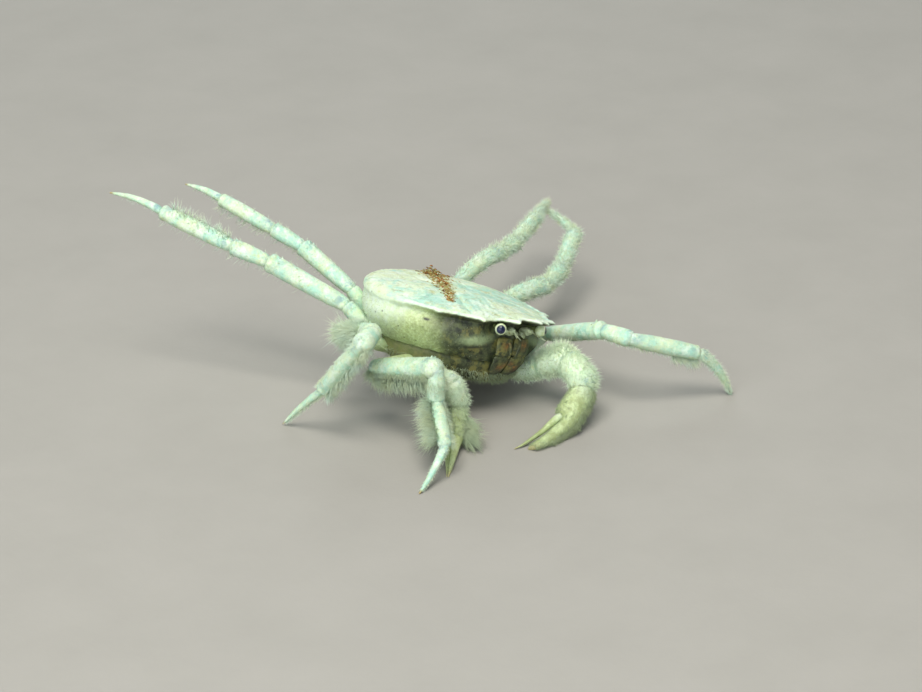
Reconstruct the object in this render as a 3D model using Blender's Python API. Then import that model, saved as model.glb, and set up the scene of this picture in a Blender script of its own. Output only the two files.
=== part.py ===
"""Thai micro crab, life size, standing as in the photo.

The sizes below are in millimetres and become metres when a mesh is made.
The crab faces -Y, its right side is -X, and its left side leans down to +X.
"""

import math
import random
import bpy
import bmesh
from mathutils import Matrix, Vector

MM = 0.001

# Body: where the middle of the carapace rim is, and how far the left side leans down
BODY_PLACE = Vector((-1.841, -2.45, 4.5))
BODY_LEAN = math.radians(19.5)
BODY = Matrix.Translation(BODY_PLACE) @ Matrix.Rotation(BODY_LEAN, 4, "Y")

# Carapace, seen from above: an egg with teeth along its rim
HALF_LENGTH = 4.31
HALF_WIDTH = 4.37
EGG = 0.15
DOME = 0.36
RIM_DROOP = 0.18
RIM_THICK = 0.2
RIM_POINTS = 120
# angle from straight ahead, reach past the egg, spread of the angle
RIM_TEETH = (
    (0.0, 0.74, 4.4),
    (14.0, 0.46, 3.8),
    (24.0, -0.12, 4.0),
    (36.0, 0.34, 3.6),
    (62.0, 0.26, 3.4),
    (88.0, 0.14, 3.4),
)
ROSTRUM_LIFT = 0.28
ROSTRUM_SPREAD = 18.0

# Flank: height of its lower edge under the rim, in front and at the back,
# and its girth on the way down as shares of the rim, at the sides and in the face
FLANK_FRONT = -2.2
FLANK_BACK = -1.35
FLANK_GIRTH = (
    (0.00, 0.93, 0.80),
    (0.30, 1.02, 0.80),
    (0.65, 0.96, 0.84),
    (0.88, 0.87, 0.82),
    (1.00, 0.80, 0.75),
)
FACE_SPREAD = 42.0

# Underside
JOINT_GAP = 0.15
WALL_HEIGHT = 0.85
WALL_GIRTH = ((0.0, 0.78, 0.72), (0.55, 0.80, 0.735), (1.0, 0.72, 0.66))
COXA_DROP = 0.55
THORAX_BELLY = -3.3
# forward, half width and top of the tail plate, from its root to its tip
TAIL_PLATE = (
    (-2.6, 0.80, -2.57),
    (-1.9, 1.20, -2.77),
    (-1.0, 1.28, -3.02),
    (0.0, 1.05, -3.34),
    (0.8, 0.75, -3.39),
    (1.5, 0.32, -3.33),
)

# Eyes
EYE_FORWARD = 3.95
EYE_APART = 2.76
EYE_BELOW = 0.54
EYE_RADIUS = 0.27
STALK_RADIUS = 0.22

# Feelers: forward, left, up and radius along one of them
FEELER = (
    (3.66, 0.5, -0.5, 0.22),
    (3.9, 0.52, -0.5, 0.25),
    (4.15, 0.56, -0.46, 0.2),
    (4.35, 0.62, -0.42, 0.13),
    (4.6, 0.7, -0.42, 0.09),
    (4.8, 0.78, -0.46, 0.06),
)

# Limbs. "root" is the angle from straight ahead at which the limb leaves the thorax.
# Each article is a length, a heading and a pitch in degrees: heading 0 is straight
# ahead and grows towards the crab's right, pitch 0 is level and grows upwards.
# "widths" are of the coxa, merus, carpus, propodus and dactylus.
LEGS = {
    "leg_p2_right": {
        "root": (75, "right"),
        "articles": ((1.76, 127, -8), (4.08, -2, 17), (1.59, 76, -87), (2.86, 36, -17), (2.59, 77, -35)),
        "widths": (0.74, 1.02, 0.84, 0.68, 0.44),
        "bow": -0.05,
        "stands": True,
    },
    "leg_p3_right": {
        "root": (101, "right"),
        "articles": ((1.82, 161, 15), (3.58, 25, 21.5), (1.49, 63, 2), (3.68, 173, -51.4), (2.92, 157, -46)),
        "widths": (0.72, 0.92, 0.98, 0.78, 0.42),
        "bow": 0.02,
        "stands": True,
    },
    "leg_p4_right": {
        "root": (124, "right"),
        "articles": ((1.65, 164, 40), (4.21, 155, 23), (1.84, 154, 16), (3.84, 159, 17), (2.82, 161, 9)),
        "widths": (0.76, 0.86, 0.74, 0.76, 0.42),
        "bow": 0.06,
        "stands": False,
    },
    "leg_p5_right": {
        "root": (147, "right"),
        "articles": ((1.74, 156, 54), (3.22, 171, 27), (1.64, 162, 20), (3.08, 166, 17), (2.06, 166, 9)),
        "widths": (0.70, 0.74, 0.66, 0.62, 0.40),
        "bow": 0.05,
        "stands": False,
    },
    "leg_p2_left": {
        "root": (74, "left"),
        "articles": ((2.10, -74, 31), (4.07, 1, 21), (1.50, -8, -1), (3.39, -56, -17), (2.73, -57, -55)),
        "widths": (0.72, 0.86, 0.84, 0.74, 0.50),
        "bow": 0.07,
        "stands": True,
    },
    "leg_p3_left": {
        "root": (101, "left"),
        "articles": ((2.49, -132, 24), (3.31, -83, 7), (1.58, -106, 11), (3.19, -121, 11), (2.62, -164, 4)),
        "widths": (0.72, 0.88, 0.80, 0.78, 0.42),
        "bow": 0.04,
        "stands": False,
    },
    "leg_p4_left": {
        "root": (124, "left"),
        "articles": ((2.62, -152, 31), (3.84, -97, 11), (1.44, -104, 2), (3.02, -114, 2), (1.80, -116, 3)),
        "widths": (0.76, 0.82, 0.72, 0.70, 0.42),
        "bow": 0.04,
        "stands": False,
    },
    "leg_p5_left": {
        "root": (147, "left"),
        "articles": (
            (1.23, -123, 10), (2.69, -150, 1), (1.49, -171, -24), (2.1, -155, -17), (1.5, -144, -31)
        ),
        "widths": (0.70, 0.74, 0.66, 0.62, 0.42),
        "bow": 0.05,
        "stands": True,
    },
}
CLAWS = {
    "claw_right": {
        "root": (53, "right"),
        "articles": ((0.45, 78, -21), (1.32, 13, 10), (1.37, -96, -72), (1.79, 55, -30), (2.97, 49, -11)),
        "widths": (0.72, 0.84, 1.05, 1.10, 0.5),
        "outer": -1.0,
        "sweep": (0.0, 0.0),
    },
    "claw_left": {
        "root": (52, "left"),
        "articles": ((1.46, -5, 26), (1.77, -8, 28), (1.72, 11, -28), (2.05, 80, -29), (2.97, 98, -13)),
        "widths": (0.86, 1.12, 1.36, 1.26, 0.62),
        "outer": -1.0,
        "sweep": (0.12, 0.24),
    },
}
LIMB_SIDES = 12

# Hair that stands out from the limbs, as flat locks. Each row is an angle round the
# article (0 its side, 90 its top, 270 its underside), a number of locks, their length
# and the share of the article at which the row ends.
FRINGES = {
    "leg_p2_right": {
        "merus": ((262, 6, 0.85, 0.68), (300, 6, 0.7, 0.74)),
        "carpus": ((200, 2, 0.3, 0.55), (340, 2, 0.3, 0.55)),
        "propodus": ((190, 3, 0.5, 0.8), (350, 3, 0.5, 0.8)),
    },
    "leg_p3_right": {
        "merus": ((0, 6, 0.8, 0.8), (285, 5, 0.9, 0.8)),
        "propodus": ((270, 5, 0.6, 0.86), (200, 4, 0.45, 0.86)),
    },
    "leg_p4_right": {
        "merus": ((250, 6, 0.5, 0.86), (290, 6, 0.5, 0.86)),
        "propodus": ((250, 7, 0.5, 0.9), (290, 7, 0.5, 0.9)),
    },
    "leg_p5_right": {
        "merus": ((250, 5, 0.5, 0.86), (290, 5, 0.5, 0.86)),
        "propodus": ((250, 6, 0.55, 0.9), (290, 6, 0.55, 0.9)),
    },
    "leg_p2_left": {"propodus": ((250, 7, 0.5, 0.9), (290, 7, 0.5, 0.9))},
    "leg_p3_left": {
        "merus": ((0, 4, 0.5, 0.86), (180, 4, 0.5, 0.86)),
        "carpus": ((0, 2, 0.45, 0.86), (180, 2, 0.45, 0.86)),
        "propodus": ((0, 5, 0.55, 0.86), (180, 5, 0.55, 0.86)),
    },
    "leg_p4_left": {
        "merus": ((0, 4, 0.45, 0.86), (180, 4, 0.45, 0.86)),
        "carpus": ((0, 2, 0.4, 0.86), (180, 2, 0.4, 0.86)),
        "propodus": ((0, 5, 0.5, 0.86), (180, 5, 0.5, 0.86)),
    },
    "leg_p5_left": {
        "merus": ((0, 4, 0.45, 0.86), (180, 4, 0.45, 0.86)),
        "propodus": ((0, 4, 0.45, 0.86), (180, 4, 0.45, 0.86)),
    },
    "claw_right": {"palm": ((0, 5, 0.7, 0.86), (180, 5, 1.0, 0.86), (90, 4, 0.5, 0.86))},
    "claw_left": {"carpus": ((0, 2, 0.4, 0.6),), "palm": ((0, 6, 0.6, 0.86), (180, 4, 0.3, 0.86))},
}
LOCK_FIRST = 0.16
LOCK_LEAN = 1.0
LOCK_BEND = 0.25
LOCK_FLAT = 0.1
LOCK_CLEAR = 0.2
LOCK_SEED = 7
# share of the article's length, share of its width
COXA_SHAPE = ((0.0, 0.84), (0.25, 0.98), (0.75, 1.0), (1.0, 0.84))
MERUS_SHAPE = ((0.0, 0.72), (0.06, 0.84), (0.25, 0.93), (0.6, 1.0), (0.88, 1.02), (0.96, 0.94), (1.0, 0.8))
CARPUS_SHAPE = ((0.0, 0.70), (0.12, 0.88), (0.4, 1.0), (0.8, 1.06), (0.94, 0.96), (1.0, 0.8))
PROPODUS_SHAPE = ((0.0, 0.74), (0.07, 0.90), (0.3, 1.0), (0.7, 1.0), (0.93, 0.86), (1.0, 0.72))
DACTYLUS_SHAPE = ((0.0, 0.92), (0.1, 1.0), (0.3, 0.86), (0.5, 0.72), (0.7, 0.56), (0.88, 0.38), (1.0, 0.22))
PALM_SHAPE = ((0.0, 0.62), (0.12, 0.84), (0.35, 1.0), (0.75, 1.02), (1.0, 0.96))
FINGER_SHAPE = ((0.06, 1.0), (0.3, 0.92), (0.6, 0.7), (0.85, 0.42), (1.0, 0.2))
DEEP_MITRE = math.radians(58)
TIP_LIFT = 0.03

# Colours of the parts: red, green, blue, roughness
SHELL = (0.60, 0.63, 0.50, 0.45)
LEG = (0.62, 0.66, 0.56, 0.45)
CLAW = (0.52, 0.56, 0.36, 0.6)
UNDER = (0.30, 0.30, 0.18, 0.6)
EYE = (0.02, 0.02, 0.04, 0.12)


def clear_scene():
    for thing in list(bpy.data.objects):
        bpy.data.objects.remove(thing, do_unlink=True)


def new_collection(name):
    group = bpy.data.collections.new(name)
    bpy.context.scene.collection.children.link(group)
    return group


def material(name, look):
    red, green, blue, rough = look
    mat = bpy.data.materials.new(name)
    mat.use_nodes = True
    shader = mat.node_tree.nodes["Principled BSDF"]
    shader.inputs["Base Color"].default_value = (red, green, blue, 1.0)
    shader.inputs["Roughness"].default_value = rough
    shader.inputs["Metallic"].default_value = 0.0
    return mat


def finish_mesh(name, bm, look, collection):
    bmesh.ops.triangulate(bm, faces=bm.faces[:])
    bmesh.ops.recalc_face_normals(bm, faces=bm.faces[:])
    for vert in bm.verts:
        vert.co *= MM
    mesh = bpy.data.meshes.new(name)
    bm.to_mesh(mesh)
    bm.free()
    thing = bpy.data.objects.new(name, mesh)
    thing.data.materials.append(material(name, look))
    collection.objects.link(thing)
    return thing


def bearing(heading, pitch):
    """Unit direction of a heading and a pitch in degrees."""
    turn = math.radians(heading)
    rise = math.radians(pitch)
    flat = math.cos(rise)
    return Vector((-math.sin(turn) * flat, -math.cos(turn) * flat, math.sin(rise)))


def body_point(forward, left, up):
    """A point given from the middle of the rim, in the world."""
    return BODY @ Vector((left, -forward, up))


def body_way(forward, left, up):
    return (BODY.to_3x3() @ Vector((left, -forward, up))).normalized()


def bump(angle, middle, spread):
    return math.exp(-((angle - middle) / spread) ** 2)


def rim_reach(turn):
    """How far teeth and notches move the rim at an angle from straight ahead."""
    side = abs(math.degrees(turn))
    return sum(reach * bump(side, middle, spread) for middle, reach, spread in RIM_TEETH)


def egg_point(turn):
    forward = HALF_LENGTH * math.cos(turn)
    left = HALF_WIDTH * math.sin(turn) * (1 - EGG * math.cos(turn))
    return forward, left


def rim_point(turn, share, teeth=0.0):
    """Forward and left of the carapace at an angle, at a share of its reach."""
    forward, left = egg_point(turn)
    grow = share * (1 + teeth * rim_reach(turn) / math.hypot(forward, left))
    return forward * grow, left * grow


def top_height(left, share):
    return DOME * (1 - share * share) - RIM_DROOP * (left / HALF_WIDTH) ** 2


def rostrum_lift(turn, share):
    lift = ROSTRUM_LIFT * bump(math.degrees(turn), 0.0, ROSTRUM_SPREAD)
    return lift * max(0.0, (share - 0.7) / 0.3)


def flank_edge(turn):
    """Height of the flank's lower edge, which rises towards the back."""
    back = min(1.0, max(0.0, -math.cos(turn)))
    return FLANK_FRONT + (FLANK_BACK - FLANK_FRONT) * back ** 1.3


def girth(turn, side, face):
    """Blend of the share at the sides and the share in the face."""
    front = bump(math.degrees(turn), 0.0, FACE_SPREAD)
    return side + (face - side) * front


def turns(count):
    """Angles from straight ahead, in order round the body."""
    return [-math.pi + 2 * math.pi * (k + 0.5) / count for k in range(count)]


def skin_rings(bm, rings):
    """Joins rings of the same number of vertices with faces."""
    for low, high in zip(rings[:-1], rings[1:]):
        for k in range(len(low)):
            n = (k + 1) % len(low)
            bm.faces.new((low[k], low[n], high[n], high[k]))


def fan(bm, ring, middle):
    for k in range(len(ring)):
        bm.faces.new((ring[k], ring[(k + 1) % len(ring)], middle))


def body_ring(bm, places):
    return [bm.verts.new(body_point(*place)) for place in places]


def build_carapace(collection):
    bm = bmesh.new()
    angles = turns(RIM_POINTS)
    rings = []
    for share in (0.2, 0.4, 0.6, 0.78, 0.9, 1.0):
        teeth = max(0.0, (share - 0.78) / 0.22)
        places = []
        for turn in angles:
            forward, left = rim_point(turn, share, teeth)
            places.append((forward, left, top_height(left, share) + rostrum_lift(turn, share)))
        rings.append(body_ring(bm, places))
    places = []
    for turn in angles:
        forward, left = rim_point(turn, 0.985, 0.97)
        places.append((forward, left, top_height(left, 1.0) + rostrum_lift(turn, 1.0) - RIM_THICK))
    rings.append(body_ring(bm, places))
    for down, side, face in FLANK_GIRTH:
        places = []
        for turn in angles:
            forward, left = rim_point(turn, girth(turn, side, face))
            start = top_height(left, 1.0) - RIM_THICK - 0.06
            places.append((forward, left, start + (flank_edge(turn) - start) * down))
        rings.append(body_ring(bm, places))
    skin_rings(bm, rings)
    fan(bm, rings[0], bm.verts.new(body_point(0, 0, DOME)))
    fan(bm, rings[-1], bm.verts.new(body_point(0, 0, FLANK_FRONT + 0.25)))
    return finish_mesh("carapace", bm, SHELL, collection)


def wall_point(turn, drop, reach=0.0):
    """A point on the thorax's side wall, a distance out from it."""
    for low, high in zip(WALL_GIRTH[:-1], WALL_GIRTH[1:]):
        if low[0] <= drop <= high[0]:
            part = (drop - low[0]) / (high[0] - low[0])
            share = girth(turn, low[1] + (high[1] - low[1]) * part, low[2] + (high[2] - low[2]) * part)
    forward, left = rim_point(turn, share)
    size = math.hypot(forward, left)
    grow = 1 + reach / size
    up = flank_edge(turn) - JOINT_GAP - WALL_HEIGHT * drop
    return forward * grow, left * grow, up


def build_thorax(collection):
    bm = bmesh.new()
    angles = turns(60)
    rings = []
    for drop in (0.0, 0.55, 1.0):
        rings.append(body_ring(bm, [wall_point(turn, drop) for turn in angles]))
    skin_rings(bm, rings)
    fan(bm, rings[0], bm.verts.new(body_point(0, 0, FLANK_FRONT + 0.25 - JOINT_GAP)))
    fan(bm, rings[-1], bm.verts.new(body_point(0.3, 0, THORAX_BELLY)))
    return finish_mesh("thorax", bm, UNDER, collection)


def build_pleon(collection):
    """The tail plate, folded forward under the thorax."""
    bm = bmesh.new()
    rings = []
    for forward, half, top in TAIL_PLATE:
        ring = []
        for across, drop in ((-1.0, 0.14), (-0.6, 0.03), (0.0, 0.0), (0.6, 0.03),
                             (1.0, 0.14), (0.7, 0.44), (0.0, 0.52), (-0.7, 0.44)):
            ring.append(bm.verts.new(body_point(forward, half * across, top - drop)))
        rings.append(ring)
    skin_rings(bm, rings)
    bm.faces.new(rings[0])
    bm.faces.new(rings[-1])
    return finish_mesh("pleon", bm, UNDER, collection)


def cross_frame(axis, dorsal):
    side = axis.cross(dorsal).normalized()
    return side, side.cross(axis).normalized()


def mitre(axis, other):
    """Normal of the plane in which two articles meet, not too far off the axis."""
    normal = axis + other
    if normal.length < 0.1:
        return axis
    normal.normalize()
    if normal.dot(axis) < math.cos(DEEP_MITRE):
        away = (normal - axis * normal.dot(axis)).normalized()
        normal = axis * math.cos(DEEP_MITRE) + away * math.sin(DEEP_MITRE)
    return normal


def spare_gap(axis, other, radius):
    """Extra room at a joint that is bent past the deepest mitre."""
    half = axis.angle(other) / 2
    return radius * math.tan(max(0.0, half - DEEP_MITRE))


def loft(bm, stations, axis, first, last, sides=LIMB_SIDES):
    """Closed tube through stations of share, middle, side vector and crest vector.

    first and last are the normals of the planes that end it. The slant of each end
    fades out at the middle of the tube.
    """
    rings = []
    for share, middle, side, crest in stations:
        ring = []
        for k in range(sides):
            a = 2 * math.pi * k / sides
            off = side * math.cos(a) + crest * math.sin(a)
            slant = 0.0
            if first is not None:
                slant -= off.dot(first) / axis.dot(first) * max(0.0, 1 - 2 * share)
            if last is not None:
                slant -= off.dot(last) / axis.dot(last) * max(0.0, 2 * share - 1)
            ring.append(bm.verts.new(middle + off + axis * slant))
        rings.append(ring)
    skin_rings(bm, rings)
    bm.faces.new(rings[0])
    bm.faces.new(rings[-1])


def tube_at(stations, share):
    """Middle, side vector and crest vector of a tube at a share of its length."""
    for low, high in zip(stations[:-1], stations[1:]):
        if low[0] <= share <= high[0]:
            part = (share - low[0]) / (high[0] - low[0])
            return [a.lerp(b, part) for a, b in zip(low[1:], high[1:])]
    return stations[-1][1:]


def grow_locks(stations, axis, rows, draw):
    """Flat locks in rows along a tube. They taper, lean towards its end and bend."""
    locks = []
    length = (stations[-1][1] - stations[0][1]).length
    reach = stations[-1][0] - stations[0][0]
    for angle, count, size, until in rows:
        half = 0.5 * length * (until - LOCK_FIRST) / count
        for k in range(count):
            share = LOCK_FIRST + (until - LOCK_FIRST) * (k + 0.5) / count
            middle, side, crest = tube_at(stations, stations[0][0] + reach * share)
            turn = math.radians(angle + draw.uniform(-16, 16))
            off = side * math.cos(turn) + crest * math.sin(turn)
            long = size * draw.uniform(0.85, 1.15)
            way = (off.normalized() + axis * LOCK_LEAN).normalized()
            across = way.cross(axis).normalized()
            broad = across.cross(way)
            root = middle + off * 0.45
            whole = off.length * 0.6 + long
            bent = [(0.0, 0.8), (0.55, 0.9), (1.0, 0.22)]
            bend = axis * (LOCK_BEND * whole)
            middles = [root + way * (whole * part) + bend * (part * part) for part, _ in bent]
            if middles[-1].z < LOCK_CLEAR:
                continue
            locks.append([
                (0.5, place, broad * (half * wide), across * (LOCK_FLAT * wide))
                for place, (_, wide) in zip(middles, bent)
            ])
    return locks


def largest_surface(bm):
    """Keeps the closed surface with the most faces and drops the rest."""
    left = set(bm.faces)
    best = set()
    while left:
        found = {left.pop()}
        edge = list(found)
        while edge:
            for side in edge.pop().edges:
                for face in side.link_faces:
                    if face in left:
                        left.remove(face)
                        found.add(face)
                        edge.append(face)
        if len(found) > len(best):
            best = found
    bmesh.ops.delete(bm, geom=[face for face in bm.faces if face not in best], context="FACES")


def fuse(bm, pieces):
    """Joins closed pieces to a closed body, in millimetres, and returns the whole."""
    helpers = bpy.data.collections.new("locks")
    bpy.context.scene.collection.children.link(helpers)
    for stations in pieces:
        piece = bmesh.new()
        loft(piece, stations, Vector((0, 0, 1)), None, None, 4)
        bmesh.ops.recalc_face_normals(piece, faces=piece.faces[:])
        mesh = bpy.data.meshes.new("lock")
        piece.to_mesh(mesh)
        piece.free()
        helpers.objects.link(bpy.data.objects.new("lock", mesh))
    bmesh.ops.recalc_face_normals(bm, faces=bm.faces[:])
    mesh = bpy.data.meshes.new("fused")
    bm.to_mesh(mesh)
    bm.free()
    thing = bpy.data.objects.new("fused", mesh)
    bpy.context.scene.collection.objects.link(thing)
    union = thing.modifiers.new("union", "BOOLEAN")
    union.operation = "UNION"
    union.operand_type = "COLLECTION"
    union.collection = helpers
    # locks cross one another, where the exact solver leaves open edges
    union.solver = "MANIFOLD"
    bpy.context.view_layer.update()
    fused = bmesh.new()
    fused.from_object(thing, bpy.context.evaluated_depsgraph_get())
    for helper in list(helpers.objects) + [thing]:
        bpy.data.objects.remove(helper, do_unlink=True)
    bpy.data.collections.remove(helpers)
    bmesh.ops.triangulate(fused, faces=fused.faces[:])
    bmesh.ops.remove_doubles(fused, verts=fused.verts[:], dist=0.004)
    bmesh.ops.dissolve_degenerate(fused, edges=fused.edges[:], dist=0.002)
    largest_surface(fused)
    return fused


def press_flat(bm):
    """What would go below the floor is laid on it, as a small flat."""
    for vert in bm.verts:
        if vert.co.z < 0.0:
            vert.co.z = 0.0


def above_floor(middle, broad, thick):
    """Lifts the middle of a ring as far as the whole ring needs to stay above the floor."""
    return Vector((middle.x, middle.y, max(middle.z, math.hypot(broad.z, thick.z))))


def build_article(name, start, end, before, after, width, shape, look, collection, bow=0.0, stands=False,
                  rows=()):
    """One article of a limb, cut half a gap short of both joints."""
    axis = (end - start).normalized()
    side, crest = cross_frame(axis, Vector((0, 0, 1)) if abs(axis.z) < 0.95 else Vector((0, 1, 0)))
    first = before
    last = None
    near = 0.0
    far = 0.0
    if before is not None and shape is not COXA_SHAPE:
        first = mitre(axis, before)
        near = JOINT_GAP / 2 / first.dot(axis) + spare_gap(axis, before, width * 0.7)
    if after is not None:
        last = mitre(axis, after)
        far = JOINT_GAP / 2 / last.dot(axis) + spare_gap(axis, after, width * 0.7)
    length = (end - start).length
    stations = []
    for share, size in shape:
        middle = start + axis * (near + (length - near - far) * share)
        middle += crest * (bow * length * 4 * share * (1 - share))
        stations.append((share, middle, side * (width * size / 2), crest * (width * size * 0.46)))
    bm = bmesh.new()
    loft(bm, stations, axis, first, last)
    if stands:
        press_flat(bm)
    if rows:
        bm = fuse(bm, grow_locks(stations, axis, rows, random.Random(LOCK_SEED)))
    return finish_mesh(name, bm, look, collection)


def limb_root(limb):
    """Where the limb leaves the thorax, and the way out of its wall there."""
    angle, side = limb["root"]
    turn = math.radians(angle if side == "left" else -angle)
    place = wall_point(turn, COXA_DROP, JOINT_GAP)
    ahead = wall_point(turn - 0.05, COXA_DROP)
    behind = wall_point(turn + 0.05, COXA_DROP)
    along = Vector((behind[0] - ahead[0], behind[1] - ahead[1], 0))
    out = body_way(-along.y, along.x, 0.0)
    if out.dot(body_way(place[0], place[1], 0.0)) < 0:
        out = -out
    return body_point(*place), out


def limb_joints(limb, stands):
    start, out = limb_root(limb)
    joints = [start]
    for length, heading, pitch in limb["articles"]:
        joints.append(joints[-1] + bearing(heading, pitch) * length)
    if stands:
        knee = joints[-2]
        length, heading, pitch = limb["articles"][-1]
        drop = knee.z - TIP_LIFT
        flat = math.sqrt(max(0.04, length * length - drop * drop))
        joints[-1] = knee + bearing(heading, 0) * flat - Vector((0, 0, drop))
    return joints, out


def directions(joints):
    return [(b - a).normalized() for a, b in zip(joints[:-1], joints[1:])]


def build_leg(name, limb, collection):
    joints, out = limb_joints(limb, limb["stands"])
    ways = directions(joints)
    names = ("coxa", "merus", "carpus", "propodus", "dactylus")
    shapes = (COXA_SHAPE, MERUS_SHAPE, CARPUS_SHAPE, PROPODUS_SHAPE, DACTYLUS_SHAPE)
    for k, (piece, shape, width) in enumerate(zip(names, shapes, limb["widths"])):
        last = piece == "dactylus"
        build_article(
            f"{name}_{piece}", joints[k], joints[k + 1],
            ways[k - 1] if k > 0 else out,
            None if last else ways[k + 1],
            width, shape, LEG, collection,
            bow=limb["bow"] if last else 0.0,
            stands=limb["stands"] and last,
            rows=FRINGES[name].get(piece, ()),
        )


def build_hand(name, joints, before, limb, rows, collection):
    """The palm with its fixed finger, and the finger that moves beside it."""
    wrist, grip, tip = joints[3:]
    palm_way = (grip - wrist).normalized()
    # the hand is broad in the plane of its fingers, and that plane faces ahead and up
    broad = palm_way.cross(bearing(45, 25)).normalized() * limb["outer"]
    thick = palm_way.cross(broad).normalized()
    palm, finger = limb["widths"][3:]
    fixed_sweep, moving_sweep = limb["sweep"]
    first = mitre(palm_way, before)
    start = wrist + palm_way * (JOINT_GAP / 2 / first.dot(palm_way))
    stations = []
    for share, size in PALM_SHAPE:
        middle = start + (grip - start) * share
        stations.append((share * 0.5, middle, broad * (palm * size / 2), thick * (palm * size * 0.4)))
    for share, size in FINGER_SHAPE:
        wide = finger * size
        apart = (palm - wide) / 2 * (1 - share) + (wide + JOINT_GAP) / 2 * share
        apart += fixed_sweep * math.sin(math.pi * share)
        ring = (broad * (wide / 2), thick * (wide * 0.55))
        middle = above_floor(grip + (tip - grip) * share + broad * apart, *ring)
        stations.append((0.5 + share / 2, middle, *ring))
    bm = bmesh.new()
    loft(bm, stations, palm_way, first, None)
    hairy = [station for station in stations if station[0] <= 0.5]
    bm = fuse(bm, grow_locks(hairy, palm_way, rows, random.Random(LOCK_SEED)))
    finish_mesh(f"{name}_palm", bm, CLAW, collection)
    room = palm - finger - JOINT_GAP
    stations = []
    for share, size in ((0.11, 0.9), (0.2, 1.0), (0.4, 0.9), (0.65, 0.68), (0.88, 0.4), (1.0, 0.2)):
        wide = min(finger, room) * size
        apart = (palm - wide) / 2 * (1 - share) + (wide + JOINT_GAP) / 2 * share
        apart -= moving_sweep * math.sin(math.pi * share)
        middle = grip + (tip - grip) * share - broad * apart + Vector((0, 0, 0.1)) * share
        ring = (broad * (wide / 2), thick * (finger * size * 0.5))
        stations.append((share, above_floor(middle, *ring), *ring))
    bm = bmesh.new()
    loft(bm, stations, palm_way, None, None)
    finish_mesh(f"{name}_finger", bm, CLAW, collection)


def build_claw(name, limb, collection):
    joints, out = limb_joints(limb, True)
    ways = directions(joints)
    widths = limb["widths"]
    names = ("coxa", "merus", "carpus")
    shapes = (COXA_SHAPE, MERUS_SHAPE, CARPUS_SHAPE)
    fringes = FRINGES[name]
    for k, (piece, shape) in enumerate(zip(names, shapes)):
        build_article(f"{name}_{piece}", joints[k], joints[k + 1], ways[k - 1] if k > 0 else out,
                      ways[k + 1], widths[k], shape, CLAW, collection, rows=fringes.get(piece, ()))
    build_hand(name, joints, ways[2], limb, fringes["palm"], collection)


def build_eye(name, side, collection):
    """A short stalk out of the orbit with the round eye on it, as one piece."""
    eye = body_point(EYE_FORWARD, side * EYE_APART / 2, -EYE_BELOW)
    root = body_point(EYE_FORWARD - 0.4, side * (EYE_APART / 2 - 0.2), -EYE_BELOW)
    axis = (eye - root).normalized()
    across, crest = cross_frame(axis, Vector((0, 0, 1)))
    reach = (eye - root).length
    shape = [(0.0, STALK_RADIUS), (reach * 0.35, STALK_RADIUS * 0.96)]
    for angle in (-42, -15, 15, 40, 65, 82):
        a = math.radians(angle)
        shape.append((reach + EYE_RADIUS * math.sin(a), EYE_RADIUS * math.cos(a)))
    stations = [(0.5, root + axis * along, across * radius, crest * radius) for along, radius in shape]
    bm = bmesh.new()
    loft(bm, stations, axis, None, None, 16)
    return finish_mesh(name, bm, EYE, collection)


def build_feelers(name, side, collection):
    """Basal block beside the mouth that carries the feeler."""
    across = body_way(0, 1, 0)
    upward = body_way(0, 0, 1)
    stations = []
    for forward, left, up, radius in FEELER:
        stations.append((0.5, body_point(forward, side * left, up), across * radius, upward * radius))
    bm = bmesh.new()
    loft(bm, stations, body_way(1, 0, 0), None, None, 8)
    return finish_mesh(name, bm, UNDER, collection)


def build_maxilliped(name, side, collection):
    """One of the two plates that close the mouth."""
    across = body_way(0, 1, 0)
    ahead = body_way(1, 0, 0)
    stations = []
    for up, forward, half in ((-0.95, 3.8, 0.28), (-1.08, 3.83, 0.4), (-1.6, 3.94, 0.45), (-2.2, 3.86, 0.42),
                              (-2.75, 3.66, 0.28)):
        stations.append((0.5, body_point(forward, side * 0.53, up), across * half, ahead * 0.2))
    bm = bmesh.new()
    loft(bm, stations, body_way(0, 0, -1), None, None, 10)
    return finish_mesh(name, bm, UNDER, collection)


def build():
    clear_scene()
    crab = new_collection("thai_micro_crab")
    build_carapace(crab)
    build_thorax(crab)
    build_pleon(crab)
    for name, side in (("right", -1), ("left", 1)):
        build_eye(f"eye_{name}", side, crab)
        build_feelers(f"feeler_{name}", side, crab)
        build_maxilliped(f"maxilliped_{name}", side, crab)
    for name, limb in CLAWS.items():
        build_claw(name, limb, crab)
    for name, limb in LEGS.items():
        build_leg(name, limb, crab)


build()
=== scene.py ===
"""Looks of the thai micro crab: shell, limbs, hair, face, floor, lights and camera.

Shapes are worked out in millimetres, from the same named sizes as the solids.
"""

import math

import bpy
import numpy as np
from mathutils import Matrix, Vector


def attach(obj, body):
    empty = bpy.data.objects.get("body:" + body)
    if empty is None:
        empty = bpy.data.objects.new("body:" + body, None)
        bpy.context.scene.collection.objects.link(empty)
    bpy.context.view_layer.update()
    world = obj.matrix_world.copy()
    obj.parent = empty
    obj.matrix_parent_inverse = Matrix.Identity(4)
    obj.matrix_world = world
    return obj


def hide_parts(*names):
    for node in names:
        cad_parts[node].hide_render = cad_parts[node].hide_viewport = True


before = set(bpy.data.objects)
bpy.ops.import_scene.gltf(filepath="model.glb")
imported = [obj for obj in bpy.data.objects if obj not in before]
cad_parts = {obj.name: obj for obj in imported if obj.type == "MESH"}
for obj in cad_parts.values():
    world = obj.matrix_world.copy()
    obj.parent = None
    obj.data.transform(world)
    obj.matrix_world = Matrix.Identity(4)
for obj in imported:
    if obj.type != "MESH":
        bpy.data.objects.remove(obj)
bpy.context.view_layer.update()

MM = 0.001
draw = np.random.default_rng(11)

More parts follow.
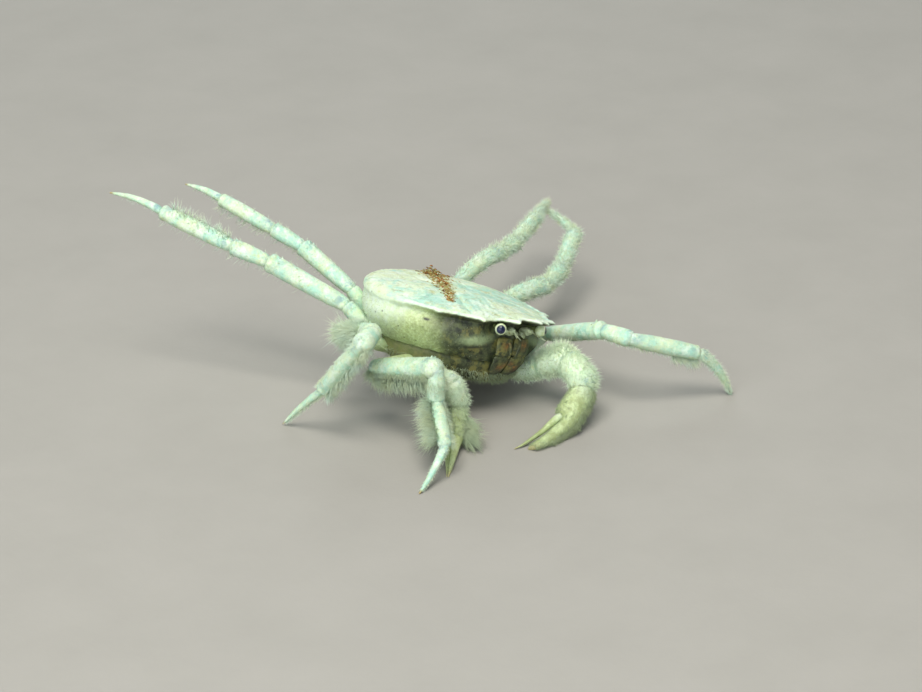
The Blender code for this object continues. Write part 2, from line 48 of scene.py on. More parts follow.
# Body: middle of the carapace rim, and how far the left side leans down
BODY_PLACE = np.array((-1.841, -2.45, 4.5))
BODY_LEAN = math.radians(19.5)
LEFT = np.array((math.cos(BODY_LEAN), 0.0, -math.sin(BODY_LEAN)))
AHEAD = np.array((0.0, -1.0, 0.0))
UP = np.array((math.sin(BODY_LEAN), 0.0, math.cos(BODY_LEAN)))

# Carapace seen from above: an egg with teeth along its rim
HALF_LENGTH = 4.31
HALF_WIDTH = 4.37
EGG = 0.15
DOME = 0.36
RIM_DROOP = 0.18
# angle from straight ahead, reach past the egg and spread of the angle
RIM_TEETH = (
    (0.0, 0.74, 4.0),
    (14.0, 0.46, 3.2),
    (24.0, -0.12, 4.0),
    (36.0, 0.34, 3.0),
    (62.0, 0.26, 2.8),
    (88.0, 0.14, 2.8),
)
ROSTRUM_LIFT = 0.28
ROSTRUM_SPREAD = 18.0
SHELL_TURNS = 720

# Flank: heights of its lower edge, and on the way down its girth at the sides and at the
# face, as shares of the rim
FLANK_FRONT = -2.2
FLANK_BACK = -1.35
FLANK_START = 0.26
FLANK_GIRTH = (
    (0, 0.93, 0.8), (0.3, 1.02, 0.8), (0.65, 0.96, 0.84), (0.88, 0.88, 0.82), (1, 0.83, 0.77),
)
FACE_SPREAD = 42.0

# Underside
JOINT_GAP = 0.15
WALL_HEIGHT = 0.85
WALL_GIRTH = ((0.0, 0.82, 0.76), (0.55, 0.8, 0.735), (1.0, 0.72, 0.66))
COXA_DROP = 0.55
THORAX_BELLY = -3.3
THORAX_TURNS = 240
# Tail plate: forward, half width and top from its root to its tip, how far its middle
# lies below its top, and half its thickness
TAIL_PLATE = (
    (-2.6, 0.8, -2.57),
    (-1.9, 1.2, -2.77),
    (-1.0, 1.28, -3.02),
    (0.0, 1.05, -3.34),
    (0.8, 0.75, -3.39),
    (1.5, 0.32, -3.33),
)
TAIL_DEPTH = 0.16
TAIL_HALF_THICK = 0.22

# Eyes
EYE_FORWARD = 3.9
EYE_APART = 2.76
EYE_BELOW = 0.38
EYE_RADIUS = 0.27
EYE_OUTWARD = 47.0

# Limbs. "root" is the angle at which the limb leaves the thorax, from straight ahead
# towards the crab's left. Each article is a length, a heading and a pitch in degrees:
# heading 0 is straight ahead and grows towards the crab's right, pitch 0 is level and
# grows upwards. "widths" are of the coxa, merus, carpus, propodus and dactylus. "bow"
# lifts the middle of the dactylus and "arch" that of the merus, by a share of its
# length. Unless "stands" is false, the limb has its tip on the floor.
ARTICLES = ("coxa", "merus", "carpus", "propodus", "dactylus")
LEGS = {
    "leg_p2_right": {
        "root": -75,
        "articles": ((1.76, 127, -8), (4.08, -2, 17), (1.59, 76, -87), (2.86, 36, -17), (2.59, 77, -35)),
        "widths": (0.74, 1.02, 0.84, 0.68, 0.44),
        "bow": -0.05,
    },
    "leg_p3_right": {
        "root": -101,
        "articles": ((1.82, 161, 15), (3.58, 25, 21.5), (1.49, 63, 2), (3.68, 173, -51.4), (2.92, 157, -46)),
        "widths": (0.72, 0.92, 0.98, 0.78, 0.42),
        "bow": 0.02,
    },
    "leg_p4_right": {
        "root": -124,
        "articles": ((1.65, 164, 40), (4.21, 155, 23), (1.84, 154, 16), (3.84, 159, 17), (2.82, 161, 9)),
        "widths": (0.76, 0.92, 0.8, 0.81, 0.44),
        "bow": 0.06,
        "stands": False,
    },
    "leg_p5_right": {
        "root": -147,
        "articles": ((1.74, 156, 54), (3.22, 171, 27), (1.64, 162, 20), (3.08, 166, 17), (2.06, 166, 9)),
        "widths": (0.76, 0.85, 0.75, 0.71, 0.43),
        "bow": 0.05,
        "stands": False,
    },
    "leg_p2_left": {
        "root": 74,
        "articles": ((2.1, -74, 31), (4.07, 1, 21), (1.5, -8, -1), (3.39, -56, -17), (2.73, -57, -55)),
        "widths": (0.72, 0.86, 0.84, 0.8, 0.6),
        "bow": 0.09,
    },
    "leg_p3_left": {
        "root": 101,
        "articles": ((2.49, -132, 24), (3.31, -83, 7), (1.58, -106, 11), (3.19, -121, 11), (2.62, -164, 4)),
        "widths": (0.72, 0.88, 0.8, 0.78, 0.42),
        "bow": 0.04,
        "arch": 0.07,
        "stands": False,
    },
    "leg_p4_left": {
        "root": 124,
        "articles": ((2.62, -152, 31), (3.84, -97, 11), (1.44, -104, 2), (3.02, -114, 2), (1.8, -116, 3)),
        "widths": (0.76, 0.82, 0.72, 0.7, 0.42),
        "bow": 0.04,
        "arch": 0.09,
        "stands": False,
    },
    "leg_p5_left": {
        "root": 147,
        "articles": (
            (1.23, -123, 10), (2.69, -150, 1), (1.49, -171, -24), (2.1, -155, -17), (1.5, -144, -31),
        ),
        "widths": (0.7, 0.74, 0.66, 0.62, 0.42),
        "bow": 0.05,
    },
}
# "fixed" and "moving" are the fingers of a claw: share of the finger's length, distance
# from the line to its tip, and half width
CLAWS = {
    "claw_right": {
        "root": -53,
        "articles": ((0.45, 78, -21), (1.32, 13, 10), (1.37, -96, -72), (1.79, 55, -30), (2.97, 49, -11)),
        "widths": (0.72, 0.84, 1.05, 1.1, 0.5),
        "fixed": (
            (0, 0.24, 0.27), (0.25, 0.19, 0.2), (0.5, 0.14, 0.15), (0.75, 0.09, 0.1), (1, 0.04, 0.015),
        ),
        "moving": (
            (-0.12, -0.25, 0.2), (0.1, -0.2, 0.18), (0.35, -0.14, 0.14), (0.65, -0.09, 0.09),
            (1, -0.03, 0.015),
        ),
    },
    "claw_left": {
        "root": 52,
        "articles": ((1.46, -5, 26), (1.77, -8, 28), (1.72, 11, -28), (2.05, 80, -29), (2.97, 98, -13)),
        "widths": (1.2, 1.36, 1.36, 1.18, 0.62),
        "fixed": (
            (0, 0.29, 0.32), (0.2, 0.28, 0.34), (0.4, 0.4, 0.28), (0.6, 0.41, 0.25),
            (0.76, 0.37, 0.18), (0.86, 0.33, 0.04),
        ),
        "moving": (
            (-0.12, -0.28, 0.22), (0.1, -0.26, 0.18), (0.4, -0.08, 0.13), (0.62, -0.02, 0.11),
            (0.82, 0.01, 0.07), (1, -0.03, 0.014),
        ),
    },
}
# share of the article's length, share of its width
SHAPES = {
    "coxa": ((0, 0.8), (0.25, 0.98), (0.75, 1), (0.93, 1), (1, 0.84)),
    "merus": ((0, 0.66), (0.05, 0.74), (0.2, 0.9), (0.55, 1), (0.86, 1.03), (0.94, 1.06), (1, 0.9)),
    "carpus": ((0, 0.66), (0.1, 0.82), (0.4, 0.98), (0.78, 1.04), (0.92, 1.02), (1, 0.86)),
    "propodus": ((0, 0.64), (0.06, 0.8), (0.25, 0.97), (0.6, 1.02), (0.86, 0.94), (0.95, 0.92), (1, 0.74)),
    "dactylus": ((0, 0.74), (0.08, 0.96), (0.25, 0.88), (0.5, 0.71), (0.75, 0.5), (0.92, 0.28), (1, 0.1)),
}
PALM_SHAPE = ((0, 0.62), (0.12, 0.84), (0.35, 0.98), (0.75, 1.02), (1, 1))
LIMB_SIDES = 40
LIMB_RINGS = 56
KNOBS = 0.012
TIP_LIFT = 0.03
# height and spread of the olive painted shade on the coxae, where they leave the raised side of the body
COXA_SHADE_HEIGHT = 3.1
COXA_SHADE_SPREAD = 0.55

# Hair of each article: angle round it (0 its side, 90 its top, 270 its underside), spread
# of the angle, hairs, their length, the shares of the article between which it grows,
# and how far it leans towards the tip of the limb
SOFT = ((0, 230, 900, 0.12, 0.05, 0.95, 0.8),)
HALO = ((0, 230, 900, 0.28, 0.03, 0.97, 0.5), (0, 230, 700, 0.12, 0.03, 0.97, 0.8))
BRISTLES = ((270, 26, 60, 0.42, 0.04, 0.97, 0.35), (90, 40, 40, 0.2, 0.05, 0.95, 0.5))
FUZZ = ((0, 230, 1300, 0.26, 0.02, 0.98, 0.5), (90, 70, 400, 0.36, 0.02, 0.98, 0.3))
COATS = {
    "leg_p2_right": {
        "merus": (
            (275, 30, 3000, 0.78, 0.02, 0.86, 0.3),
            (290, 60, 350, 0.55, 0.0, 0.1, -0.7),
            (325, 26, 900, 0.3, 0.05, 0.8, 0.4),
            (90, 70, 500, 0.1, 0.1, 0.95, 0.7),
        ),
        "carpus": ((0, 200, 600, 0.1, 0.1, 1.0, 0.9),),
        "propodus": (
            (10, 36, 1100, 0.85, 0.02, 0.8, 0.4),
            (190, 40, 500, 0.3, 0.05, 0.9, 0.7),
            (90, 60, 300, 0.1, 0.1, 1.0, 0.8),
        ),
        "dactylus": ((270, 120, 600, 0.13, 0.05, 0.85, 0.8),),
    },
    "leg_p3_right": {
        "merus": (
            (5, 40, 900, 0.85, 0.03, 0.62, 0.0),
            (0, 60, 900, 0.45, 0.03, 0.7, 0.0),
            (95, 40, 500, 0.3, 0.05, 0.6, 0.1),
            (310, 40, 1300, 0.75, 0.03, 0.75, 0.1),
            (0, 230, 700, 0.12, 0.05, 0.98, 0.7),
        ),
        "carpus": ((300, 60, 500, 0.35, 0.02, 0.8, 0.4), (90, 60, 200, 0.1, 0.05, 0.9, 0.6)),
        "propodus": ((290, 45, 1700, 0.5, 0.03, 0.95, 0.7), (110, 50, 400, 0.16, 0.05, 0.95, 0.6)),
        "dactylus": ((290, 70, 500, 0.2, 0.03, 0.85, 0.8),),
    },
    "leg_p4_right": {
        "merus": BRISTLES,
        "carpus": BRISTLES,
        "propodus": BRISTLES + ((90, 55, 300, 0.5, 0.15, 0.8, 0.1),),
        "dactylus": ((270, 40, 60, 0.22, 0.05, 0.7, 0.6),),
    },
    "leg_p5_right": {
        "merus": BRISTLES,
        "carpus": BRISTLES,
        "propodus": BRISTLES + ((270, 40, 120, 0.5, 0.1, 0.9, 0.3),),
        "dactylus": ((270, 40, 60, 0.22, 0.05, 0.7, 0.6),),
    },
    "leg_p2_left": {
        "merus": ((270, 60, 260, 0.14, 0.2, 0.95, 0.7),),
        "carpus": ((270, 50, 160, 0.2, 0.05, 0.95, 0.7),),
        "propodus": ((270, 34, 260, 0.25, 0.1, 0.97, 0.7), (275, 26, 500, 0.5, 0.6, 0.92, 0.4)),
        "dactylus": ((0, 230, 1000, 0.2, 0.05, 1.0, 0.4),),
    },
    "leg_p3_left": dict.fromkeys(ARTICLES[1:], HALO),
    "leg_p4_left": dict.fromkeys(ARTICLES[1:], HALO),
    "leg_p5_left": {"merus": HALO, "carpus": HALO, "propodus": HALO, "dactylus": SOFT},
    "claw_right": {
        "merus": SOFT,
        "carpus": SOFT + ((0, 230, 900, 0.25, 0.1, 0.95, 0.5),),
        "palm": (
            (0, 34, 700, 0.75, 0.24, 0.5, 0.35),
            (0, 34, 250, 1.1, 0.3, 0.5, 0.5),
            (180, 60, 1600, 1.15, 0.04, 0.5, 0.3),
            (90, 80, 900, 0.3, 0.02, 0.5, 0.6),
        ),
    },
    "claw_left": {
        "coxa": FUZZ,
        "merus": FUZZ + ((270, 60, 600, 0.35, 0.05, 0.95, 0.4), (90, 60, 500, 0.45, 0.0, 0.8, 0.2)),
        "carpus": FUZZ,
        "palm": (
            (0, 50, 2100, 0.3, 0.02, 0.75, 0.5),
            (180, 50, 900, 0.14, 0.02, 0.9, 0.8),
            (90, 200, 2200, 0.13, 0.02, 0.9, 0.8),
        ),
    },
    # here the angle goes round the body: 180 is the front, 90 the crab's right side
    "body": {
        "flank": ((85, 60, 700, 0.07, 0.1, 0.97, 0.6),),
        "wall": ((180, 60, 900, 0.2, 0.3, 1.0, 0.6), (90, 60, 500, 0.2, 0.3, 1.0, 0.6)),
    },
}
HAIR_RADIUS = 0.011
# how far the hair of an article is darkened to olive: painted shade on the hair under the body and beneath
# the legs, and the palms' own olive
HAIR_OLIVE_AND_SHADE = {
    "leg_p2_right": {"merus": 0.45, "propodus": 0.3},
    "leg_p3_right": {"merus": 0.15},
    "claw_right": {"palm": 0.5},
    "claw_left": {"palm": 0.9},
    "body": {"flank": 0.9, "wall": 0.9},
}
HAIR_PATCH = 0.003

# Strip of debris across the back: forward, left and spread, and how many grains
DEBRIS_LINE = ((-4.1, 2.0, 0.8), (-3.0, 1.1, 0.72), (-1.6, -0.05, 0.6), (0.0, -1.2, 0.42), (1.4, -2.3, 0.2))
DEBRIS_GRAINS = 1900
# Orange-brown marks on the mouth plates: forward, left, up and spread
ORANGE_SPOTS = ((3.83, 0.6, -1.15, 0.2), (3.72, 0.15, -2.2, 0.2), (3.66, 0.5, -2.25, 0.18))

# The camera, which looks past the crab's right shoulder as the photo does: its heading
# and its pitch from the crab in degrees
PHOTO_WIDE = 922
PHOTO_HIGH = 692
VIEW_TURN = 45
VIEW_RISE = 25
PIXELS_PER_MM = 21.7
LENS = 135.0
SENSOR = 36.0
BODY_IN_PHOTO = (462, 297)


def body_points(forward, left, up):
    """Places on the body, from the middle of the rim."""
    return (BODY_PLACE + np.multiply.outer(forward, AHEAD)
            + np.multiply.outer(left, LEFT) + np.multiply.outer(up, UP))


def hump(value, middle, spread):
    return np.exp(-(((value - middle) / spread) ** 2))


def fade(value, middle, spread):
    """1 below the middle and 0 above it, or the other way round for a negative spread."""
    return 1 / (1 + np.exp((value - middle) / spread))


def knobs(points, size, height):
    """A small uneven height at each point, with swells of about the given size."""
    points = np.asarray(points) * (2 * math.pi / size)
    height_at = np.zeros(points.shape[:-1])
    for k in range(7):
        way = np.array((math.cos(2.4 * k), math.sin(2.4 * k), math.cos(1.7 * k + 1)))
        height_at += np.sin(points @ way * (0.7 + 0.13 * k) + 1.9 * k)
    return height * height_at / 7


def unit(vectors):
    vectors = np.asarray(vectors, float)
    return vectors / np.maximum(np.linalg.norm(vectors, axis=-1, keepdims=True), 1e-9)


def bearing(heading, pitch):
    """The way that has a heading and a pitch in degrees."""
    turn = math.radians(heading)
    rise = math.radians(pitch)
    return np.array((-math.sin(turn) * math.cos(rise), -math.cos(turn) * math.cos(rise), math.sin(rise)))


def turns_round(count):
    """Angles all the way round the body: 0 is its front, and they grow to its left."""
    return -np.pi + 2 * np.pi * (np.arange(count) + 0.5) / count


def front_angle(turn):
    """Degrees from straight ahead, the same on both sides."""
    return np.abs(np.degrees(turn))


# Meshes


class Heap:
    """Gathers closed surfaces in millimetres, with their masks, to make them one piece."""

    def __init__(self):
        self.points = []
        self.quads = []
        self.tris = []
        self.masks = {}
        self.count = 0

    def add(self, points, quads, tris, **masks):
        self.points.append(points)
        self.quads.append(quads + self.count)
        self.tris.append(tris + self.count)
        for name in {**self.masks, **masks}:
            column = self.masks.setdefault(name, [np.zeros(self.count)] if self.count else [])
            column.append(np.broadcast_to(masks.get(name, 0.0), len(points)))
        self.count += len(points)

    def add_grid(self, grid, **masks):
        """Adds a closed tube of rings. Masks may differ between rings and round them."""
        for name, values in masks.items():
            values = np.broadcast_to(values, grid.shape[:2])
            masks[name] = np.append(values, (values[0, 0], values[-1, 0]))
        self.add(*closed_rings(grid), **masks)

    def piece(self, name, mat, slot, nodes=(), smooth=True, uvs=None):
        """Makes the mesh, which stands in for the named nodes of the solids."""
        quads = np.concatenate(self.quads)
        tris = np.concatenate(self.tris)
        loops = np.append(quads, tris).astype(np.int32)
        starts = np.append(np.arange(len(quads)) * 4, len(quads) * 4 + np.arange(len(tris)) * 3)
        mesh = bpy.data.meshes.new(name)
        mesh.vertices.add(self.count)
        mesh.vertices.foreach_set("co", (np.concatenate(self.points) * MM).ravel())
        mesh.loops.add(len(loops))
        mesh.loops.foreach_set("vertex_index", loops)
        mesh.polygons.add(len(starts))
        mesh.polygons.foreach_set("loop_start", starts.astype(np.int32))
        mesh.update(calc_edges=True)
        for mask, column in self.masks.items():
            layer = mesh.attributes.new(mask, "FLOAT", "POINT")
            layer.data.foreach_set("value", np.concatenate(column).astype(np.float32))
        if uvs is not None:
            layer = mesh.uv_layers.new(name="OFBake")
            layer.data.foreach_set("uv", uvs.astype(np.float32)[loops].ravel())
        if smooth:
            mesh.shade_smooth()
        mesh.materials.append(mat)
        piece = bpy.data.objects.new(name, mesh)
        bpy.context.scene.collection.objects.link(piece)
        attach(piece, "root")
        if nodes:
            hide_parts(*nodes)


def ring_faces(rings, sides):
    """Faces of a closed tube of rings, with a point at each end after the ring points."""
    here = np.arange(sides)
    there = (here + 1) % sides
    low = (np.arange(rings - 1) * sides)[:, None]
    quads = np.stack([low + here, low + there, low + sides + there, low + sides + here], axis=-1)
    last = (rings - 1) * sides
    end = np.full(sides, rings * sides)
    tris = np.concatenate([
        np.stack([there, here, end], axis=-1),
        np.stack([last + here, last + there, end + 1], axis=-1),
    ])
    return quads.reshape(-1, 4), tris


def closed_rings(grid):
    """Points and faces of a grid of rings, closed by a middle point at each end."""
    points = np.concatenate([grid.reshape(-1, 3), grid[0].mean(0)[None], grid[-1].mean(0)[None]])
    return points, *outward(points, *ring_faces(*grid.shape[:2]))


def outward(points, quads, tris):
    """Turns all faces round if the closed surface is inside out."""
    corners = np.concatenate([points[quads[:, (0, 1, 2)]], points[quads[:, (0, 2, 3)]], points[tris]])
    volume = np.einsum("ij,ij->i", corners[:, 0], np.cross(corners[:, 1], corners[:, 2])).sum()
    if volume < 0:
        return quads[:, ::-1], tris[:, ::-1]
    return quads, tris


def smooth_rows(rows, times):
    """Softens the bends of a row of values and keeps its ends."""
    rows = rows.copy()
    for _ in range(times):
        rows[1:-1] = rows[1:-1] * 0.5 + (rows[:-2] + rows[2:]) * 0.25
    return rows


def ring_shares(count):
    """Shares of a length, closer together near both ends."""
    even = np.linspace(0, 1, count)
    return even * 0.35 + (0.5 - 0.5 * np.cos(np.pi * even)) * 0.65


def rounding(shares, first, last):
    """Falls to nothing at both ends as a round cap does."""
    start = np.clip(shares / first, 0, 1)
    end = np.clip((1 - shares) / last, 0, 1)
    return np.sqrt(np.maximum(1 - (1 - start) ** 2, 0.0004) * np.maximum(1 - (1 - end) ** 2, 0.0004))


def spun(rows, shares):
    """Values of the rows at the shares, which are the rows' first column."""
    rows = np.array(rows, float)
    return np.array([np.interp(shares, rows[:, 0], column) for column in rows[:, 1:].T]).T


def evenly(rows, shares):
    """Values at shares of the way through the rows."""
    rows = np.array(rows, float)
    steps = np.arange(len(rows))
    return np.array([np.interp(shares * steps[-1], steps, column) for column in rows.T]).T


def side_and_crest(axis, crest=(0.0, 0.0, 1.0)):
    crest = np.asarray(crest, float)
    if abs(np.dot(axis, crest)) > 0.95:
        crest = np.array((0.0, 1.0, 0.0))
    side = unit(np.cross(axis, crest))
    return side, unit(np.cross(side, axis))


def tube(middles, half_side, half_crest, side, crest, sides=LIMB_SIDES, keel=0.0):
    """Grid of rings round a line of middles. The keel lifts the crest of each ring."""
    turn = np.arange(sides) * 2 * np.pi / sides
    lift = 1 + keel * np.exp(-(((turn - np.pi / 2) / 0.45) ** 2))
    across = np.cos(turn) * lift
    above = np.sin(turn) * lift
    return (middles[:, None, :]
            + (half_side[:, None] * across)[..., None] * side
            + (half_crest[:, None] * above)[..., None] * crest)


def globe(place, radius, angles, axis, side, crest, sides):
    """Rings of a ball, at angles that grow along its axis."""
    wide = radius * np.cos(angles)
    return tube(place + np.outer(radius * np.sin(angles), axis), wide, wide, side, crest, sides)


def way_out(grid):
    """The way out of a tube at each of its points."""
    return unit(grid - grid.mean(1, keepdims=True))


# Materials


class Shader:
    """Builds a procedural material, with short calls for its usual nodes."""

    def __init__(self, name, rough, coat=0.0, specular=0.5, subsurface=0.0):
        self.mat = bpy.data.materials.new(name)
        self.mat.use_nodes = True
        self.tree = self.mat.node_tree
        self.skin = self.tree.nodes["Principled BSDF"].inputs
        self.skin["Roughness"].default_value = rough
        self.skin["Specular IOR Level"].default_value = specular
        self.skin["Coat Weight"].default_value = coat
        self.skin["Coat Roughness"].default_value = 0.2
        self.skin["Subsurface Weight"].default_value = subsurface
        self.skin["Subsurface Radius"].default_value = (0.5, 0.6, 0.35)
        self.skin["Subsurface Scale"].default_value = 0.3 * MM
        self.place = self.node("TexCoord", {})["Object"]

    def link(self, source, socket):
        if isinstance(source, (int, float)):
            socket.default_value = source
        elif isinstance(source, tuple):
            socket.default_value = (*source, 1.0)
        else:
            self.tree.links.new(source, socket)

    def node(self, kind, sockets, **settings):
        """The outputs of a new node, with its settings and its input sockets filled in."""
        node = self.tree.nodes.new("ShaderNode" + kind)
        for setting, value in settings.items():
            setattr(node, setting, value)
        for socket, source in sockets.items():
            self.link(source, node.inputs[socket])
        return node.outputs

    def noise(self, per_mm, detail=4.0, rough=0.6, warp=0.0):
        sockets = {"Vector": self.place, "Scale": per_mm / MM, "Detail": detail, "Roughness": rough}
        return self.node("TexNoise", {**sockets, "Distortion": warp})["Fac"]

    def cells(self, per_mm):
        return self.node("TexVoronoi", {"Vector": self.place, "Scale": per_mm / MM})["Distance"]

    def mask(self, name):
        return self.node("Attribute", {}, attribute_name=name)["Fac"]

    def ramp(self, value, low, high):
        """0 below low, 1 above high, smooth between them."""
        sockets = {"Value": value, "From Min": low, "From Max": high}
        return self.node("MapRange", sockets, interpolation_type="SMOOTHSTEP")["Result"]

    def sum(self, kind, a, b):
        return self.node("Math", {0: a, 1: b}, operation=kind)[0]

    def times(self, a, b):
        return self.sum("MULTIPLY", a, b)

    def mix(self, fac, a, b):
        return self.node("Mix", {"Factor": fac, 6: a, 7: b}, data_type="RGBA")[2]

    def spots(self, colour, tone, amount, per_mm, rough, low, high, warp=0.0):
        """Lays spots of a tone over a colour, where a noise is high."""
        cover = self.ramp(self.noise(per_mm, 6.0, rough, warp), low, high)
        return self.mix(self.times(cover, amount), colour, tone)

    def finish(self, colour, bumps):
        """Ends the material with its colour and with bumps of height in mm and source."""
        self.link(colour, self.skin["Base Color"])
        below = {}
        for height, source in bumps:
            normal = self.node("Bump", {"Distance": height * MM, "Height": source, **below})["Normal"]
            below = {"Normal": normal}
        self.link(normal, self.skin["Normal"])
        return self.mat


TEAL = (0.44, 0.74, 0.6)
CREAM = (0.72, 0.84, 0.57)
WHITE = (0.8, 0.92, 0.77)
OLIVE = (0.24, 0.29, 0.1)
GREEN_OLIVE = (0.38, 0.45, 0.17)
LIGHT_OLIVE = (0.6, 0.71, 0.36)
DARK = (0.022, 0.028, 0.016)
FACE_OLIVE = (0.1, 0.12, 0.05)
FACE_YELLOW = (0.24, 0.22, 0.06)
OVAL_OLIVE = (0.26, 0.33, 0.17)
JOINT_BLUE = (0.22, 0.38, 0.42)
YELLOW = (0.58, 0.58, 0.22)
ORANGE = (0.4, 0.17, 0.04)
BROWN = (0.13, 0.065, 0.022)
LEAF = (0.36, 0.33, 0.12)
HORN = (0.42, 0.33, 0.14)
MEMBRANE = (0.5, 0.68, 0.46)
BELLY = (0.32, 0.32, 0.15)
PUPIL_DARK = (0.003, 0.006, 0.03)
PUPIL_BLUE = (0.012, 0.02, 0.07)
EYE_RING = (0.88, 0.92, 0.66)
FLOOR_DARK = (0.36, 0.345, 0.32)
FLOOR_PALE = (0.42, 0.4, 0.375)


def shell_material():
    s = Shader("shell", 0.45, coat=0.15, subsurface=0.2)
    grain = s.noise(9.0, 5.0, 0.75)
    patch = s.sum("SUBTRACT", s.noise(0.7, 5.0, 0.65), s.times(s.mask("cool"), 0.2))
    top = s.mix(s.ramp(patch, 0.3, 0.48), TEAL, CREAM)
    top = s.spots(top, WHITE, 0.75, 1.3, 0.75, 0.46, 0.6)
    top = s.spots(top, YELLOW, 0.6, 2.2, 0.7, 0.52, 0.66)
    top = s.spots(top, OLIVE, 0.6, 1.9, 0.8, 0.53, 0.68, warp=0.4)
    top = s.spots(top, JOINT_BLUE, 0.35, 6.0, 0.8, 0.52, 0.66)
    # Painted highlight: white along the sharp rim, and a white fleck on the back where a small highlight
    # shows.
    top = s.mix(s.times(s.mask("edge"), s.ramp(s.noise(3.0, 4.0), 0.3, 0.5)), top, WHITE)
    mottle = s.ramp(s.noise(3.6, 6.0, 0.75), 0.38, 0.62)
    pale = s.ramp(s.sum("ADD", s.mask("pale"), s.times(s.noise(2.0, 5.0, 0.7), 0.5)), 0.3, 1.1)
    olive = s.mix(s.ramp(grain, 0.35, 0.65), GREEN_OLIVE, LIGHT_OLIVE)
    olive = s.spots(olive, OLIVE, 0.4, 1.5, 0.7, 0.48, 0.62)
    olive = s.mix(pale, olive, s.mix(mottle, CREAM, WHITE))
    # Painted shade round the face, under the rim: near-black olive with yellow specks.
    dark = s.spots(s.mix(mottle, DARK, FACE_OLIVE), FACE_YELLOW, 0.7, 1.7, 0.7, 0.52, 0.64)
    face = s.ramp(s.sum("ADD", s.mask("face"), s.times(s.noise(1.8, 6.0, 0.7), 0.7)), 0.45, 1.1)
    flank = s.mix(face, olive, dark)
    flank = s.mix(s.times(s.mask("oval"), s.ramp(grain, 0.1, 0.5)), flank, OVAL_OLIVE)
    flank = s.mix(s.times(s.ramp(s.cells(2.2), 0.16, 0.05), 0.6), flank, DARK)
    colour = s.mix(s.mask("flank"), top, flank)
    stain = s.ramp(s.times(s.mask("stain"), s.ramp(grain, 0.3, 0.62)), 0.25, 0.6)
    colour = s.mix(stain, colour, s.mix(s.ramp(s.noise(5.0), 0.4, 0.6), ORANGE, YELLOW))
    colour = s.mix(s.mask("spot"), colour, DARK)
    return s.finish(colour, ((0.04, s.noise(5.0, 6.0, 0.75)), (0.015, s.cells(7.0))))


def leg_material(name, pale, tint, rough):
    s = Shader(name, rough, coat=0.1, subsurface=0.2)
    colour = s.mix(s.ramp(s.noise(1.1, 6.0, 0.75), 0.35, 0.65), pale, tint)
    colour = s.spots(colour, WHITE, 0.7, 1.9, 0.75, 0.48, 0.6)
    colour = s.spots(colour, YELLOW, 0.5, 3.5, 0.7, 0.54, 0.68)
    colour = s.spots(colour, OLIVE, 0.5, 2.6, 0.75, 0.56, 0.68)
    colour = s.spots(colour, OLIVE, 0.35, 8.0, 0.8, 0.54, 0.68)
    blue = s.times(s.mask("joint"), s.ramp(s.noise(2.0, 3.0), 0.42, 0.6))
    colour = s.mix(s.times(blue, 0.8), colour, JOINT_BLUE)
    # The olive mask brings the palms' own olive, and on the coxae olive painted shade under the raised side
    # of the body.
    palm_olive_and_shade = s.mix(s.ramp(s.noise(2.5, 6.0, 0.7), 0.4, 0.62), GREEN_OLIVE, LIGHT_OLIVE)
    colour = s.mix(s.mask("olive"), colour, palm_olive_and_shade)
    # Olive painted shade on the undersides of the leg articles; on the claw fingers this mask darkens them
    # to olive towards their tips.
    colour = s.mix(s.times(s.mask("under"), 0.5), colour, OLIVE)
    colour = s.mix(s.mask("tip"), colour, HORN)
    colour = s.mix(s.mask("membrane"), colour, MEMBRANE)
    return s.finish(colour, ((0.04, s.noise(7.0, 6.0, 0.75)), (0.015, s.cells(9.0))))


def hair_material(name, pale, tint):
    s = Shader(name, 0.7, specular=0.25)
    colour = s.mix(s.ramp(s.noise(1.6, 4.0), 0.4, 0.62), pale, tint)
    # Hair darkened to olive: painted shade under the body and beneath the legs, and the palms' own olive.
    colour = s.mix(s.times(s.mask("dim"), 0.8), colour, OLIVE)
    colour = s.mix(s.ramp(s.mask("tip"), 0.7, -0.2), colour, s.mix(0.6, OLIVE, pale))
    return s.finish(colour, ((0.004, s.noise(30.0)),))


def under_material():
    s = Shader("underside", 0.6, coat=0.05, subsurface=0.15)
    mottle = s.ramp(s.noise(3.2, 6.0, 0.75), 0.36, 0.64)
    # Painted shade: near-black olive round the face, under the rim, and a little of it all over the
    # underside.
    dark = s.spots(s.mix(mottle, DARK, FACE_OLIVE), FACE_YELLOW, 0.8, 1.7, 0.7, 0.48, 0.6)
    colour = s.mix(s.mask("dark"), s.mix(mottle, OLIVE, BELLY), dark)
    speck = s.times(s.mask("orange"), s.ramp(s.noise(5.0, 5.0, 0.7), 0.36, 0.52))
    rust = s.mix(s.ramp(s.noise(7.0), 0.4, 0.6), ORANGE, BROWN)
    colour = s.mix(s.times(speck, 0.9), colour, rust)
    fleck = s.times(s.mask("pale"), s.ramp(s.noise(4.0, 5.0, 0.7), 0.36, 0.52))
    colour = s.mix(fleck, colour, CREAM)
    return s.finish(colour, ((0.03, s.noise(6.0, 6.0, 0.7)), (0.015, s.cells(8.0))))


def eye_material():
    s = Shader("eye", 0.2, coat=0.25, specular=0.4)
    mottle = s.ramp(s.noise(6.0, 5.0, 0.7), 0.4, 0.6)
    colour = s.mix(s.mask("ball"), s.mix(mottle, FACE_OLIVE, OLIVE), s.mix(mottle, LIGHT_OLIVE, CREAM))
    colour = s.mix(s.mask("pupil"), colour, s.mix(mottle, PUPIL_DARK, PUPIL_BLUE))
    ring = s.times(s.mask("ring"), s.ramp(s.noise(3.5, 4.0, 0.7), 0.38, 0.52))
    colour = s.mix(ring, colour, EYE_RING)
    return s.finish(colour, ((0.008, s.cells(22.0)),))


